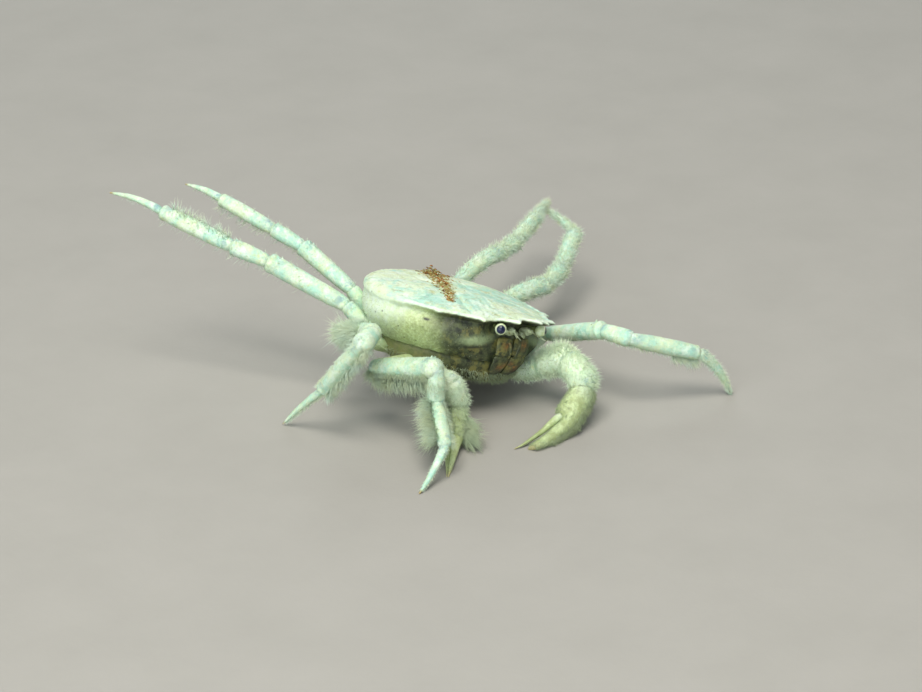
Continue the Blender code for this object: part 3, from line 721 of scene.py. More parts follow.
def grit_material():
    s = Shader("grit", 0.85, specular=0.2)
    colour = s.mix(s.ramp(s.noise(4.0, 4.0), 0.4, 0.55), BROWN, ORANGE)
    colour = s.mix(s.ramp(s.mask("tone"), 0.4, 0.55), colour, LEAF)
    colour = s.mix(s.ramp(s.mask("tone"), 0.88, 0.94), colour, CREAM)
    return s.finish(colour, ((0.02, s.noise(20.0)),))


def floor_material():
    s = Shader("floor", 0.8, specular=0.2)
    colour = s.mix(s.noise(0.2, 5.0), FLOOR_DARK, FLOOR_PALE)
    return s.finish(colour, ((0.01, s.noise(3.0)),))


# Body


def egg_point(turn):
    forward = HALF_LENGTH * np.cos(turn)
    left = HALF_WIDTH * np.sin(turn) * (1 - EGG * np.cos(turn))
    return forward, left


def rim_reach(turn):
    """How far teeth and notches move the rim."""
    away = front_angle(turn)
    return sum(reach * np.exp(-np.abs((away - middle) / spread) ** 1.5)
               for middle, reach, spread in RIM_TEETH)


def rim_point(turn, share, teeth=0.0):
    forward, left = egg_point(turn)
    grow = share * (1 + teeth * rim_reach(turn) / np.hypot(forward, left))
    return forward * grow, left * grow


def flank_edge(turn):
    back = np.clip(-np.cos(turn), 0, 1)
    return FLANK_FRONT + (FLANK_BACK - FLANK_FRONT) * back ** 1.3


def girth(turn, side, face):
    return side + (face - side) * hump(front_angle(turn), 0.0, FACE_SPREAD)


def beside(forward, left, start, end):
    """How far along the line from start to end the nearest spot is, and the gap to it."""
    ahead, across = np.subtract(end, start)
    forward = forward - start[0]
    left = left - start[1]
    part = np.clip((forward * ahead + left * across) / (ahead ** 2 + across ** 2), 0, 1)
    return part, np.hypot(forward - ahead * part, left - across * part)


def groove_depth(forward, left):
    """Grooves that part the regions of the back, the same on both sides."""
    lines = (
        ((2.9, 2.3), (1.9, 1.95), (1.0, 1.4), (0.3, 1.0), (-0.2, 0.62), (-0.35, 0.0)),
        ((0.3, 1.0), (0.2, 1.9), (0.6, 3.0)),
        ((-0.2, 0.62), (-0.9, 1.0), (-1.8, 1.15), (-2.7, 0.75), (-2.95, 0.0)),
        ((-1.8, 1.15), (-2.2, 2.2), (-1.9, 3.1)),
    )
    gaps = [beside(forward, np.abs(left), start, end)[1]
            for line in lines for start, end in zip(line[:-1], line[1:])]
    return hump(np.min(gaps, axis=0), 0.0, 0.13)


def back_relief(forward, left):
    """Swellings of the regions of the back, and the grooves between them."""
    rise = 0.07 * hump(np.hypot(forward - 1.5, left), 0.0, 1.2)
    rise = rise + 0.06 * hump(np.hypot(forward + 1.5, left), 0.0, 0.9)
    rise = rise + 0.07 * hump(np.hypot(forward + 0.9, np.abs(left) - 2.4), 0.0, 1.1)
    return rise - 0.06 * groove_depth(forward, left)


def rim_sharpness(turn):
    """1 where the rim is a sharp ledge, 0 at the back where the shell rolls over."""
    return fade(front_angle(turn), 86, 6)


def top_height(left, share):
    return DOME * (1 - share * share) - RIM_DROOP * (left / HALF_WIDTH) ** 2


def build_shell(mat):
    turn = turns_round(SHELL_TURNS)
    sharp = rim_sharpness(turn)
    away = front_angle(turn)
    rows = []
    masks = {key: [] for key in ("flank", "edge", "face", "pale", "oval", "stain", "spot", "cool")}

    def keep(forward, left, up, **values):
        rows.append(body_points(forward, left, up))
        for key, column in masks.items():
            column.append(np.broadcast_to(values.get(key, 0.0), turn.shape))

    rostrum = ROSTRUM_LIFT * hump(away, 0.0, ROSTRUM_SPREAD)
    for share in np.append(np.linspace(0.02, 0.88, 40), np.linspace(0.895, 1.0, 16)):
        forward, left = rim_point(turn, share, max(0.0, (share - 0.78) / 0.22))
        up = top_height(left, share) + rostrum * max(0.0, (share - 0.7) / 0.3)
        up = up + back_relief(forward, left) * min(1.0, (1.0 - share) / 0.12)
        ridge = hump(share, 0.968, 0.022) - 0.8 * hump(share, 0.915, 0.025)
        up = up + 0.05 * ridge * sharp + rear_shape(share, sharp)
        stain = debris_cover(forward, left)
        mark = 0.5 * hump(np.hypot(forward + 0.86, (left + 2.9) * 0.6), 0.0, 0.22)
        # A white fleck painted as a small highlight, and a painted highlight along the sharp rim.
        fleck = 1.6 * hump(np.hypot(forward - 1.0, (left - 2.45) * 0.6), 0.0, 0.12)
        keep(forward, left, up, edge=np.maximum(hump(share, 0.985, 0.03) * sharp * 0.9, fleck),
             stain=np.maximum(stain, mark), cool=hump(forward, 1.0, 2.0))
    lip_start = len(rows)
    rim_forward, rim_left = rim_point(turn, 1.0, 1.0)
    rim_up = top_height(rim_left, 1.0) + rostrum + rear_shape(1.0, sharp)
    lip = ((1.004, 0.03, 1.004, 0.06), (1.0, 0.065, 1.006, 0.12), (0.985, 0.1, 1.007, 0.17),
           (0.965, 0.14, 1.006, 0.21), (0.948, 0.19, 1.004, 0.24))
    for inward, drop, round_inward, round_drop in lip:
        share = inward * sharp + round_inward * (1 - sharp)
        fall = drop * sharp + round_drop * (1 - sharp)
        under = min(1.0, drop / 0.1)
        # The lip's upper rows carry the rim's painted highlight, and the face's painted shade reaches onto
        # it.
        keep(rim_forward * share, rim_left * share, rim_up - fall, flank=under, face=face_shade(turn, 0.0),
             pale=pale_tone(turn, 0.0), edge=(1 - under) * 0.6)
    flank_start = len(rows)
    downs = np.linspace(0.0, 1.0, 44)
    eye_angle = math.degrees(math.atan2(EYE_APART / 2, EYE_FORWARD))
    bulge = hump(away, 125.0, 28.0)
    for down, (side, face) in zip(downs, smooth_rows(spun(FLANK_GIRTH, downs), 30)):
        share = girth(turn, side, face)
        share = share + (1.004 - share) * (1 - sharp) * (1 - down) ** 2
        orbit = hump(away, eye_angle, 7.5) * hump(down, 0.12, 0.12)
        lobe = hump(away, 35.0, 10.0) * hump(down, 0.5, 0.14)
        share = share - 0.06 * orbit + 0.03 * lobe - 0.02 * bulge * hump(down, 0.4, 0.4)
        forward, left = rim_point(turn, share, 0.25 * (1 - down) ** 3)
        start = rim_up - FLANK_START
        up = start + (flank_edge(turn) - 0.35 * bulge - start) * down
        oval_down = 0.44 + 0.007 * (away - 35.0)
        oval = np.minimum(1.0, 1.4 * hump(away, 35.0, 11.0) * hump(down, oval_down, 0.11))
        spot = np.maximum(1.5 * hump(np.degrees(turn), -69.0, 2.0) * hump(down, 0.17, 0.035),
                          0.9 * hump(away, 37.0, 12.0) * hump(down, oval_down + 0.17, 0.035))
        # Painted shade round the face, under the rim, over the flank.
        keep(forward, left, up, flank=1.0, face=face_shade(turn, down), pale=pale_tone(turn, down),
             oval=oval, spot=np.minimum(spot, 1.0))
    forward, left = rim_point(turn, 0.45)
    keep(forward, left, np.full_like(turn, FLANK_FRONT + 0.2), flank=1.0, face=1.0)
    grid = np.array(rows)
    grid[lip_start:] = smooth_rows(grid[lip_start:], 2)
    grid = grid + knobs(grid, 0.5, 0.03)[..., None] * UP
    heap = Heap()
    heap.add_grid(grid, **masks)
    heap.piece("shell", mat, "shell", ("carapace",))
    return grid[flank_start:-1]


def rear_shape(share, sharp):
    """At the back the shell stays high nearly to its rim and then rolls over."""
    return (1 - sharp) * (0.16 * share ** 2 - 0.2 * share ** 24)


def face_shade(turn, down):
    """Painted shade on the flank round the face, under the rim."""
    return fade(front_angle(turn), 62.0 - 8.0 * down, 7.0)


def pale_tone(turn, down):
    """Where the flank is pale, towards the back."""
    return 0.95 * fade(front_angle(turn), 80.0 + 28.0 * down, -9.0)


def debris_cover(forward, left):
    """How much of the back is covered by the strip of debris that crosses it."""
    cover = np.zeros(np.shape(forward))
    for (*start, wide), (*end, wide_on) in zip(DEBRIS_LINE[:-1], DEBRIS_LINE[1:]):
        part, gap = beside(forward, left, start, end)
        cover = np.maximum(cover, hump(gap, 0.0, wide + (wide_on - wide) * part))
    return cover


def build_debris(mat):
    """Grains of silt and rotten leaf that lie along a strip across the back."""
    heap = Heap()
    line = np.array(DEBRIS_LINE)
    corners = 6
    turn = np.arange(corners) * 2 * np.pi / corners
    circle = np.stack([np.cos(turn), np.sin(turn)], axis=-1)
    lifts = np.repeat((-0.3, 0.4, -0.6, 1.0), (corners, corners, 1, 1))
    for _ in range(DEBRIS_GRAINS):
        at = draw.random() ** 1.7 * (len(line) - 1)
        low = int(at)
        forward, left, width = line[low] + (line[low + 1] - line[low]) * (at - low)
        across = draw.normal(0, 0.5, 2)
        forward += across[0] * width
        left += across[1] * width
        angle = math.atan2(left, forward)
        share = math.hypot(forward, left) / math.hypot(*rim_point(angle, 1.0))
        if share > 0.99:
            continue
        up = top_height(left, share) + back_relief(forward, left) + rear_shape(share, rim_sharpness(angle))
        up += 0.5 * draw.random() ** 1.5 * math.exp(-at * 1.3) * math.exp(-4 * (across @ across))
        size = 0.012 + 0.042 * draw.random() ** 2
        tall = size * draw.uniform(0.4, 0.9)
        ring = circle * draw.uniform(0.6, 1.25, (corners, 1)) * size
        way = np.array((math.cos(9 * size / 0.01), math.sin(9 * size / 0.01)))
        ring = ring + np.outer(ring @ way, way) * draw.uniform(0, 1.5)
        spots = np.concatenate([ring, ring, np.zeros((2, 2))])
        points = body_points(forward + spots[:, 0], left + spots[:, 1], up + tall * lifts)
        heap.add(points, *outward(points, *ring_faces(2, corners)), tone=draw.random())
    heap.piece("debris", mat, "shell", smooth=False)


def wall_point(turn, drop, reach=0.0):
    """A point on the side wall of the thorax, a distance out from it."""
    shares, sides, faces = np.array(WALL_GIRTH).T
    share = girth(turn, np.interp(drop, shares, sides), np.interp(drop, shares, faces))
    forward, left = rim_point(turn, share)
    grow = 1 + reach / np.hypot(forward, left)
    return forward * grow, left * grow, flank_edge(turn) - JOINT_GAP - WALL_HEIGHT * drop


def build_thorax(mat):
    """The underside. Its wall starts inside the carapace, so that no slit shows."""
    turn = turns_round(THORAX_TURNS)
    forward, left, up = wall_point(turn, 0.0)
    rows = [body_points(forward * 0.5, left * 0.5, up + 0.4)]
    rows.append(body_points(forward * 0.995, left * 0.995, up + 0.35))
    wall_start = len(rows)
    for drop in np.linspace(0, 1, 18):
        rows.append(body_points(*wall_point(turn, drop)))
    wall_end = len(rows)
    suture = sum(hump(front_angle(turn), middle, 3.0) for middle in (44, 64, 88, 112, 136))
    forward, left, up = wall_point(turn, 1.0)
    for share in np.linspace(0.96, 0.04, 26):
        height = up * share + THORAX_BELLY * (1 - share)
        height = height + 0.06 * suture * min(1.0, share * 1.6) + 0.1 * hump(share, 0.98, 0.05)
        rows.append(body_points(forward * share + 0.3 * (1 - share), left * share, height))
    grid = np.array(rows)
    grid = grid + knobs(grid, 0.4, 0.03)[..., None] * UP
    heap = Heap()
    # The underside is a little darkened all over as painted shade, and much more round the face.
    heap.add_grid(grid, dark=0.3 + 0.7 * face_shade(turn, 0.0))
    heap.piece("thorax_plate", mat, "underside", ("thorax",))
    return grid[wall_start:wall_end]


def build_pleon(mat):
    """The tail plate, folded forward under the thorax, with its segments."""
    shares = ring_shares(60)
    sides = 32
    turn = np.arange(sides) * 2 * np.pi / sides
    seams = sum(hump(shares, middle, 0.012) for middle in (0.12, 0.27, 0.43, 0.6, 0.78))
    rows = smooth_rows(evenly(TAIL_PLATE, shares), 6)
    grid = []
    for (forward, half, top), seam, cap in zip(rows, seams, rounding(shares, 0.1, 0.12)):
        across = half * cap * (1 - 0.04 * seam) * np.cos(turn)
        belly = TAIL_HALF_THICK * cap * (1 - 0.25 * seam) * np.sin(turn)
        grid.append(body_points(np.full(sides, forward), across, top - TAIL_DEPTH + belly))
    heap = Heap()
    heap.add_grid(np.array(grid), pale=0.4)
    heap.piece("tail_plate", mat, "underside", ("pleon",))


# Face


def rod(heap, hand, spots, crest=UP, flat=None, rings=26, sides=16, cap=0.12, **masks):
    """A round-ended rod through spots of forward, left, up and half width on the body."""
    table = [(*body_points(forward, hand * left, up), half, flat or half)
             for forward, left, up, half in spots]
    shares = ring_shares(rings)
    rows = smooth_rows(evenly(table, shares), 3)
    ends = rounding(shares, cap, cap)
    heap.add_grid(tube(rows[:, :3], rows[:, 3] * ends, rows[:, 4] * ends, LEFT, crest, sides), **masks)


def build_eye(name, hand, mat):
    """A short stalk with the round eye on its end, which looks ahead and outward."""
    turn = math.radians(EYE_OUTWARD)
    way = unit(AHEAD * math.cos(turn) + LEFT * hand * math.sin(turn) + UP * 0.1)
    centre = body_points(EYE_FORWARD, hand * EYE_APART / 2, -EYE_BELOW)
    root = body_points(EYE_FORWARD - 0.62, hand * (EYE_APART / 2 - 0.3), -EYE_BELOW - 0.02)
    heap = Heap()
    reach = np.linspace(0, 1, 14)
    middles = root + np.outer(reach, centre - root)
    girths = 0.13 + 0.07 * reach ** 2
    heap.add_grid(tube(middles, girths, girths, *side_and_crest(unit(centre - root), UP), 28))
    degrees = np.linspace(-86, 88, 44)
    radius = EYE_RADIUS * (1 + 0.03 * fade(np.radians(degrees), math.radians(42), -0.05))
    grid = globe(centre, radius, np.radians(degrees), way, *side_and_crest(way, UP), 40)
    pupil = fade(degrees, 42, -1.5)[:, None]
    heap.add_grid(grid, ball=1.0, pupil=pupil, ring=hump(degrees, 36.0, 7.0)[:, None])
    heap.piece(name, mat, "eye", (name,))


def build_feeler(name, hand, mat):
    """Block at the base, short articles and a thin whip beside the beak."""
    heap = Heap()
    rods = (
        (((3.45, 0.52, -0.55, 0.18), (3.75, 0.54, -0.5, 0.22), (3.95, 0.56, -0.46, 0.17)), 0.12, 0.45),
        (((3.75, 0.5, -0.45, 0.1), (3.95, 0.56, -0.4, 0.1), (4.1, 0.62, -0.4, 0.07)), 0.12, 0.65),
        (((4.05, 0.62, -0.42, 0.035), (4.4, 0.74, -0.55, 0.022), (4.8, 0.9, -0.62, 0.01)), 0.05, 0.5),
        (((3.7, 0.18, -0.55, 0.1), (3.9, 0.2, -0.6, 0.11), (4.0, 0.24, -0.72, 0.07)), 0.12, 0.4),
        (((3.6, 1.0, -0.6, 0.1), (3.8, 0.92, -0.52, 0.09), (3.92, 0.86, -0.46, 0.05)), 0.12, 0.6),
    )
    for spots, cap, pale in rods:
        # The less pale rods take the painted shade of the face.
        rod(heap, hand, spots, cap=cap, pale=pale, dark=1 - pale)
    heap.piece(name, mat, "underside", (name,))


def build_maxilliped(name, hand, mat):
    """One of the plates that close the mouth, with its two large articles and its palp."""
    heap = Heap()
    plates = (
        ((3.2, 0.42, -2.72, 0.2), (3.4, 0.48, -2.5, 0.4), (3.6, 0.53, -2.1, 0.5), (3.7, 0.55, -1.66, 0.52)),
        ((3.7, 0.55, -1.74, 0.52), (3.7, 0.56, -1.35, 0.53), (3.64, 0.58, -1.05, 0.5),
         (3.58, 0.6, -0.85, 0.4)),
    )
    # The mouth plates and palp lie wholly in the painted shade of the face.
    for spots in plates:
        rod(heap, hand, spots, AHEAD, 0.13, 30, 24, 0.1, dark=1.0)
    palp = ((3.72, 0.4, -1.0, 0.07), (3.8, 0.3, -1.2, 0.09), (3.82, 0.22, -1.5, 0.08),
            (3.78, 0.2, -1.8, 0.05))
    rod(heap, hand, palp, AHEAD, dark=1.0)
    points = np.concatenate(heap.points)
    tint = np.zeros(heap.count)
    for forward, left, up, spread in ORANGE_SPOTS:
        gap = np.linalg.norm(points - body_points(forward, hand * left, up), axis=-1)
        tint = np.maximum(tint, hump(gap, 0.0, spread))
    heap.masks["orange"] = [tint]
    heap.piece(name, mat, "underside", (name,))


# Limbs


def limb_joints(limb):
    """The joints of a limb from its root on the thorax to its tip."""
    turn = math.radians(limb["root"])
    joints = [body_points(*wall_point(turn, COXA_DROP, JOINT_GAP))]
    for length, heading, pitch in limb["articles"]:
        joints.append(joints[-1] + bearing(heading, pitch) * length)
    if limb.get("stands", True):
        length, heading, _ = limb["articles"][-1]
        drop = joints[-2][2] - TIP_LIFT
        flat = math.sqrt(max(0.04, length * length - drop * drop))
        joints[-1] = joints[-2] + bearing(heading, 0) * flat - np.array((0, 0, drop))
    return joints


def article_grid(start, end, width, kind, bow, reach_back, reach_on, bent):
    """Rings of one article, its shares and its axis.

    It reaches past both of its joints, and its end is round where the limb is bent.
    """
    axis = unit(end - start)
    length = np.linalg.norm(end - start)
    side, crest = side_and_crest(axis)
    shares = ring_shares(LIMB_RINGS)
    size = smooth_rows(np.interp(shares, *np.array(SHAPES[kind]).T), 4)
    if kind == "dactylus":
        ends = rounding(shares, 0.06, 0.02)
        lip = 1.0
    else:
        part = width / length
        ends = rounding(shares, min(0.3, 0.25 * part), min(0.4, (0.1 + 0.4 * bent) * part))
        lip = 1 + (0.07 * hump(shares, 0.945, 0.018) - 0.05 * hump(shares, 0.89, 0.025)) * (1 - bent)
    lift = bow * length * 4 * shares * (1 - shares)
    along = shares * (length + reach_back + reach_on) - reach_back
    middles = start + np.outer(along, axis) + np.outer(lift, crest)
    half = width * size * ends * lip / 2
    keel = 0.05 if kind in ("merus", "propodus") else 0.02
    grid = tube(middles, half, half * 0.92, side, crest, keel=keel)
    swell = (knobs(grid, 0.32, KNOBS) + knobs(grid, 0.9, KNOBS)) * ends[:, None]
    grid = grid + way_out(grid) * swell[..., None]
    grid[..., 2] = np.maximum(grid[..., 2], 0.0)
    return grid, shares, axis


def article_masks(grid, shares, kind):
    """Bluish marks near the joints on top, olive painted shade on the underside and on the coxae where they
    leave the raised side of the body, and a horny tip.
    """
    rise = way_out(grid)[..., 2]
    near = hump(shares, 0.1, 0.08) + (0.7 * hump(shares, 0.88, 0.07) if kind != "dactylus" else 0.0)
    return {
        "joint": near[:, None] * np.clip(0.4 + rise, 0, 1),
        # painted shade: olive on the underside of each article
        "under": np.clip(-rise * 1.2, 0, 1),
        "tip": fade(shares, 0.93, -0.012)[:, None] if kind == "dactylus" else 0.0,
        # olive painted shade on the coxae, where they leave the raised side of the body
        "olive": 0.85 * hump(grid[..., 2], COXA_SHADE_HEIGHT, COXA_SHADE_SPREAD) if kind == "coxa" else 0.0,
    }


def build_articles(heap, joints, widths, kinds, bow=0.0, arch=0.0):
    """The articles of a limb one after another, with soft skin between them.

    The dactylus is bowed and the merus arched, by a share of their lengths.
    """
    rises = {"dactylus": bow, "merus": arch}
    ways = [unit(b - a) for a, b in zip(joints[:-1], joints[1:])]
    grids = {}
    for k, kind in enumerate(kinds):
        width = widths[k]
        bend_back = np.linalg.norm(np.cross(ways[k], ways[k - 1])) if k else 0.0
        bend_on = np.linalg.norm(np.cross(ways[k], ways[k + 1])) if k + 1 < len(ways) else 0.0
        reach_back = (0.05 + 0.2 * bend_back * min(width, widths[k - 1])) if k else 0.05
        reach_on = (0.04 + 0.3 * bend_on * min(width, widths[k + 1])) if kind != "dactylus" else 0.0
        grid, shares, axis = article_grid(joints[k], joints[k + 1], width, kind, rises.get(kind, 0.0),
                                          reach_back, reach_on, min(1.0, bend_on))
        if k == 0:
            grid = grid + (np.clip(1 - shares / 0.45, 0, 1) ** 2)[:, None, None] * into_body(joints[0])
        grids[kind] = (grid, axis, k)
        heap.add_grid(grid, **article_masks(grid, shares, kind))
        if k:
            add_joint(heap, joints[k], 0.34 * min(width, widths[k - 1]))
    return grids


def into_body(root):
    """The step by which the start of a limb is sunk into the side of the body."""
    offset = root - BODY_PLACE
    return -0.65 * unit(offset - UP * (offset @ UP))


def add_joint(heap, place, radius):
    """The soft skin that shows between two articles."""
    angles = np.radians(np.linspace(-86, 86, 14))
    side, crest, axis = np.eye(3)
    heap.add_grid(globe(place, radius, angles, axis, side, crest, 20), membrane=1.0)


def add_teeth(heap, grid, axis, slots):
    """Small pointed teeth, each at a ring of an article, an angle round it, and its length."""
    reach = np.linspace(0, 1, 7)
    for ring, turn, length in slots:
        place = grid[ring, round(turn / 360 * LIMB_SIDES) % LIMB_SIDES]
        way = unit(unit(place - grid[ring].mean(0)) + axis * 0.7)
        middles = place + np.outer((reach - 0.3) * length, way)
        wide = length * 0.36 * (1 - reach) ** 0.8 + 0.004
        heap.add_grid(tube(middles, wide, wide, *side_and_crest(way), 10))


def build_leg(name, limb, skin):
    heap = Heap()
    joints = limb_joints(limb)
    grids = build_articles(heap, joints, limb["widths"], ARTICLES, limb["bow"], limb.get("arch", 0.0))
    add_teeth(heap, *grids["merus"][:2], ((-10, 90, 0.2), (-12, 60, 0.14), (-12, 125, 0.14)))
    add_teeth(heap, *grids["carpus"][:2], ((-10, 80, 0.12), (-10, 110, 0.12)))
    heap.piece(name, skin, "leg", [f"{name}_{kind}" for kind in ARTICLES])
    return grids


def build_claw(name, limb, skin):
    """A claw: three articles, the hand with its fixed finger, and the finger that moves.

    Rings that would sink into the floor slide towards the viewer instead.
    """
    joints = limb_joints(limb)
    widths = limb["widths"]
    heap = Heap()
    grids = build_articles(heap, joints, widths, ARTICLES[:3])
    wrist, grip, tip = joints[3:]
    add_joint(heap, wrist, 0.3 * widths[3])
    viewer = bearing(VIEW_TURN, VIEW_RISE)
    palm_way = unit(grip - wrist)
    broad = -unit(np.cross(palm_way, viewer))
    thick = unit(np.cross(palm_way, broad))

    def finger(rows, start, depth):
        middles = [grip + (tip - grip) * share + broad * offset for share, offset, _ in rows]
        return [(start + share * (1 - start), *middle, half, half * depth)
                for middle, (share, _, half) in zip(middles, rows)]

    palm = [(share * 0.45, *(wrist + (grip - wrist) * share), widths[3] * size / 2, widths[3] * size * 0.4)
            for share, size in PALM_SHAPE]
    tubes = {"palm": palm + finger(limb["fixed"], 0.5, 1.05), "finger": finger(limb["moving"], 0.0, 1.1)}
    along = ring_shares(90)
    ends = rounding(along, 0.05, 0.03)
    tips = along[:, None]
    for kind, rows in tubes.items():
        first = rows[0][0]
        values = smooth_rows(spun(rows, first + (rows[-1][0] - first) * along), 14)
        grid = tube(values[:, :3], values[:, 3] * ends, values[:, 4] * ends, broad, thick)
        grid = grid + way_out(grid) * (knobs(grid, 0.32, KNOBS) * ends[:, None])[..., None]
        sunk = np.maximum(-grid[..., 2].min(1), 0)[:, None, None]
        grid = grid + sunk / viewer[2] * viewer
        heap.add_grid(grid, olive=0.85 * np.clip(tips / 0.25, 0, 1), tip=0.7 * fade(tips, 0.93, -0.015),
                      under=(0.8 if kind == "finger" else 0.1) * np.clip((tips - 0.3) / 0.3, 0, 1))
        grids[kind] = (grid, palm_way, 3)
    add_teeth(heap, *grids["carpus"][:2], ((-16, 90, 0.2), (-22, 60, 0.14), (-14, 120, 0.14)))
    add_teeth(heap, *grids["merus"][:2], ((-12, 90, 0.16), (-18, 75, 0.12)))
    heap.piece(name, skin, "claw", [f"{name}_{kind}" for kind in ARTICLES[:3] + ("palm", "finger")])
    return grids


# Hair


def hair_roots(grid, angle, spread, count, low, high):
    """Random places on a tube, with the way out of it and their shares of its two ways."""
    rings, sides = grid.shape[:2]
    share = low + (high - low) * draw.random(count)
    turn = np.radians(angle + draw.normal(0, spread * 0.5, count)) % (2 * np.pi)
    ring = share * (rings - 1)
    low_ring = np.minimum(ring.astype(int), rings - 2)
    part = (ring - low_ring)[:, None]
    slot = turn / (2 * np.pi) * sides
    first = slot.astype(int) % sides
    mix = (slot - np.floor(slot))[:, None]
    second = (first + 1) % sides
    here = grid[low_ring, first] * (1 - mix) + grid[low_ring, second] * mix
    there = grid[low_ring + 1, first] * (1 - mix) + grid[low_ring + 1, second] * mix
    place = here * (1 - part) + there * part
    centre = grid[low_ring].mean(1) * (1 - part) + grid[low_ring + 1].mean(1) * part
    return place, unit(place - centre), share, turn / (2 * np.pi)


def hair_mesh(roots, ways, bends, lengths, uv):
    """Thin three-sided hairs with a tip, as one set of arrays."""
    count = len(roots)
    radius = HAIR_RADIUS * draw.uniform(0.7, 1.25, (count, 1))
    side = unit(np.cross(ways, draw.normal(size=(count, 3))))
    other = np.cross(side, ways)
    levels = np.append(np.repeat((0.0, 0.4, 0.75), 3), 1.0)
    sizes = np.append(np.repeat((1.0, 0.8, 0.5), 3), 0.0)
    turn = np.arange(10) * 2 * np.pi / 3
    reach = (lengths[:, None] * levels)[..., None]
    off = np.cos(turn)[:, None] * side[:, None] + np.sin(turn)[:, None] * other[:, None]
    points = roots[:, None] + reach * (ways[:, None] + bends[:, None] * levels[:, None])
    points = points + off * (radius * sizes)[..., None]
    quads = np.array([(k * 3 + j, k * 3 + (j + 1) % 3, k * 3 + 3 + (j + 1) % 3, k * 3 + 3 + j)
                      for k in range(2) for j in range(3)])
    tris = np.array([(6, 7, 9), (7, 8, 9), (8, 6, 9), (0, 2, 1)])
    base = (np.arange(count) * 10)[:, None, None]
    uvs = uv[:, None] + HAIR_PATCH * np.stack([levels, np.arange(10) % 3 / 2], axis=-1)
    points[..., 2] = np.maximum(points[..., 2], 0.01)
    return (points.reshape(-1, 3), (quads + base).reshape(-1, 4), (tris + base).reshape(-1, 3),
            np.tile(levels, count), np.clip(uvs, 0, 1).reshape(-1, 2))


def build_coat(name, grids, coat, mat, slot):
    """All hair of one limb. It leans towards the tip of the limb and droops a little."""
    heap = Heap()
    uvs = []
    for kind, rows in coat.items():
        grid, axis, number = grids[kind]
        for angle, spread, count, length, low, high, lean in rows:
            place, out, share, turn = hair_roots(grid, angle, spread, count, low, high)
            tuft = np.repeat(draw.normal(0, 0.2, (count // 5 + 1, 3)), 5, axis=0)[:count]
            tuft += draw.normal(0, 0.13, (count, 3))
            way = unit(out + axis * lean * draw.uniform(0.5, 1.4, (count, 1)) + tuft)
            bend = axis * 0.2 + draw.normal(0, 0.2, (count, 3)) + np.array((0, 0, -0.08))
            size = length * draw.uniform(0.4, 1.1, count)
            uv = np.stack([(number + share) / 5, turn], axis=-1)
            *faces, marks, patches = hair_mesh(place - out * 0.02, way, bend, size, uv)
            # Hair darkened to olive: painted shade in places, the palms' own olive in others.
            heap.add(*faces, tip=marks, dim=HAIR_OLIVE_AND_SHADE.get(name, {}).get(kind, 0.0))
            uvs.append(patches)
    heap.piece(f"{name}_hair", mat, slot, uvs=np.concatenate(uvs))


# Stage


def build_stage():
    bpy.ops.mesh.primitive_plane_add(size=1.2, location=(0, 0, 0))
    floor = bpy.context.active_object
    floor.name = "floor"
    floor.data.materials.append(floor_material())
    world = bpy.data.worlds.new("studio")
    bpy.context.scene.world = world
    world.use_nodes = True
    back = world.node_tree.nodes["Background"]
    back.inputs["Color"].default_value = (0.8, 0.86, 0.88, 1.0)
    back.inputs["Strength"].default_value = 0.3


def add_light(name, place, size, power, colour):
    """A soft square lamp, its place in millimetres, that looks at the crab."""
    lamp = bpy.data.lights.new(name, "AREA")
    lamp.size = size * MM
    lamp.energy = power
    lamp.color = colour
    thing = bpy.data.objects.new(name, lamp)
    bpy.context.scene.collection.objects.link(thing)
    thing.location = Vector(place) * MM
    thing.rotation_euler = (Vector((0, 0, 3)) - Vector(place)).to_track_quat("-Z", "Y").to_euler()


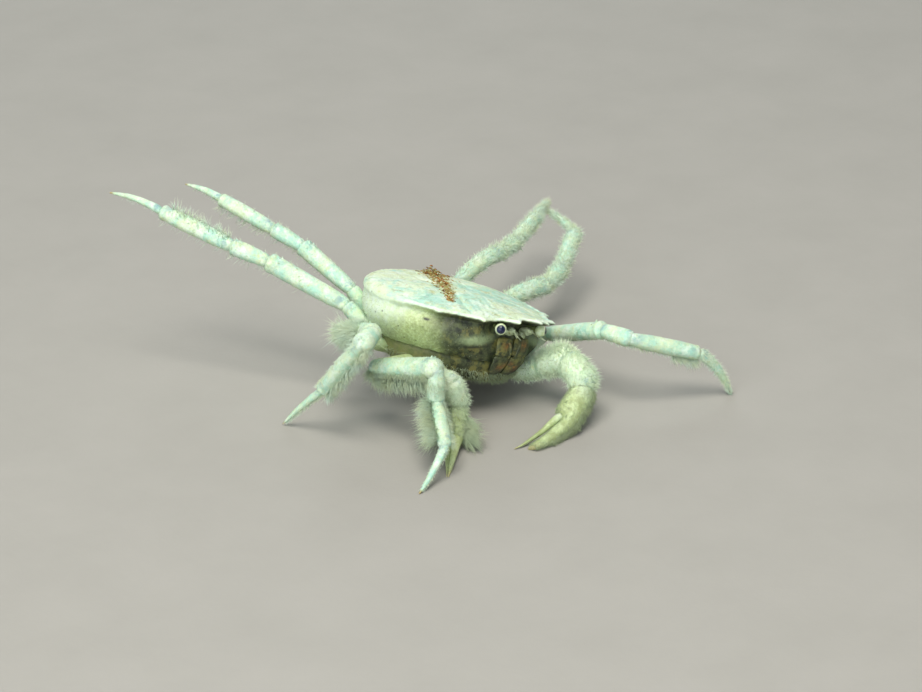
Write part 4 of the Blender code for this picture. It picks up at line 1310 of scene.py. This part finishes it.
def build_camera():
    right = bearing(VIEW_TURN - 90, 0)
    back = bearing(VIEW_TURN, VIEW_RISE)
    up = np.cross(back, right)
    distance = PHOTO_WIDE * LENS / SENSOR / PIXELS_PER_MM
    place = (BODY_PLACE + back * distance
             - right * (BODY_IN_PHOTO[0] - PHOTO_WIDE / 2) / PIXELS_PER_MM
             + up * (BODY_IN_PHOTO[1] - PHOTO_HIGH / 2) / PIXELS_PER_MM)
    lens = bpy.data.cameras.new("camera")
    lens.lens = LENS
    lens.sensor_width = SENSOR
    lens.clip_start = 1 * MM
    camera = bpy.data.objects.new("camera", lens)
    bpy.context.scene.collection.objects.link(camera)
    pose = Matrix((right, up, back)).transposed().to_4x4()
    pose.translation = Vector(place * MM)
    camera.matrix_world = pose
    bpy.context.scene.camera = camera


def build_crab():
    under = under_material()
    eye = eye_material()
    flank = build_shell(shell_material())
    wall = build_thorax(under)
    build_debris(grit_material())
    build_pleon(under)
    for name, hand in (("right", -1), ("left", 1)):
        build_eye(f"eye_{name}", hand, eye)
        build_feeler(f"feeler_{name}", hand, under)
        build_maxilliped(f"maxilliped_{name}", hand, under)
    leg_skin = leg_material("leg", TEAL, CREAM, 0.42)
    # The claw skin is the leg skin in paler colours: painted light that lifts the arm out of the shade of
    # the carapace.
    claw_skin = leg_material("claw", (0.7, 0.88, 0.64), (0.82, 0.93, 0.68), 0.5)
    leg_hair = hair_material("leg_hair", (0.74, 0.88, 0.74), (0.8, 0.88, 0.64))
    claw_hair = hair_material("claw_hair", (0.78, 0.93, 0.72), (0.87, 0.96, 0.72))
    fringes = {"flank": (flank, -UP, 0), "wall": (wall, -UP, 1)}
    build_coat("body", fringes, COATS["body"], leg_hair, "underside")
    for name, limb in LEGS.items():
        build_coat(name, build_leg(name, limb, leg_skin), COATS[name], leg_hair, "leg")
    for name, limb in CLAWS.items():
        build_coat(name, build_claw(name, limb, claw_skin), COATS[name], claw_hair, "claw")


build_camera()
build_stage()
add_light("key", (-60, -40, 190), 120, 0.36, (1.0, 0.97, 0.88))
add_light("fill", (-180, -85, 65), 160, 0.27, (0.88, 0.97, 1.0))
add_light("back", (120, 140, 110), 120, 0.12, (0.9, 1.0, 1.0))
bpy.context.scene.view_settings.view_transform = "Standard"
build_crab()
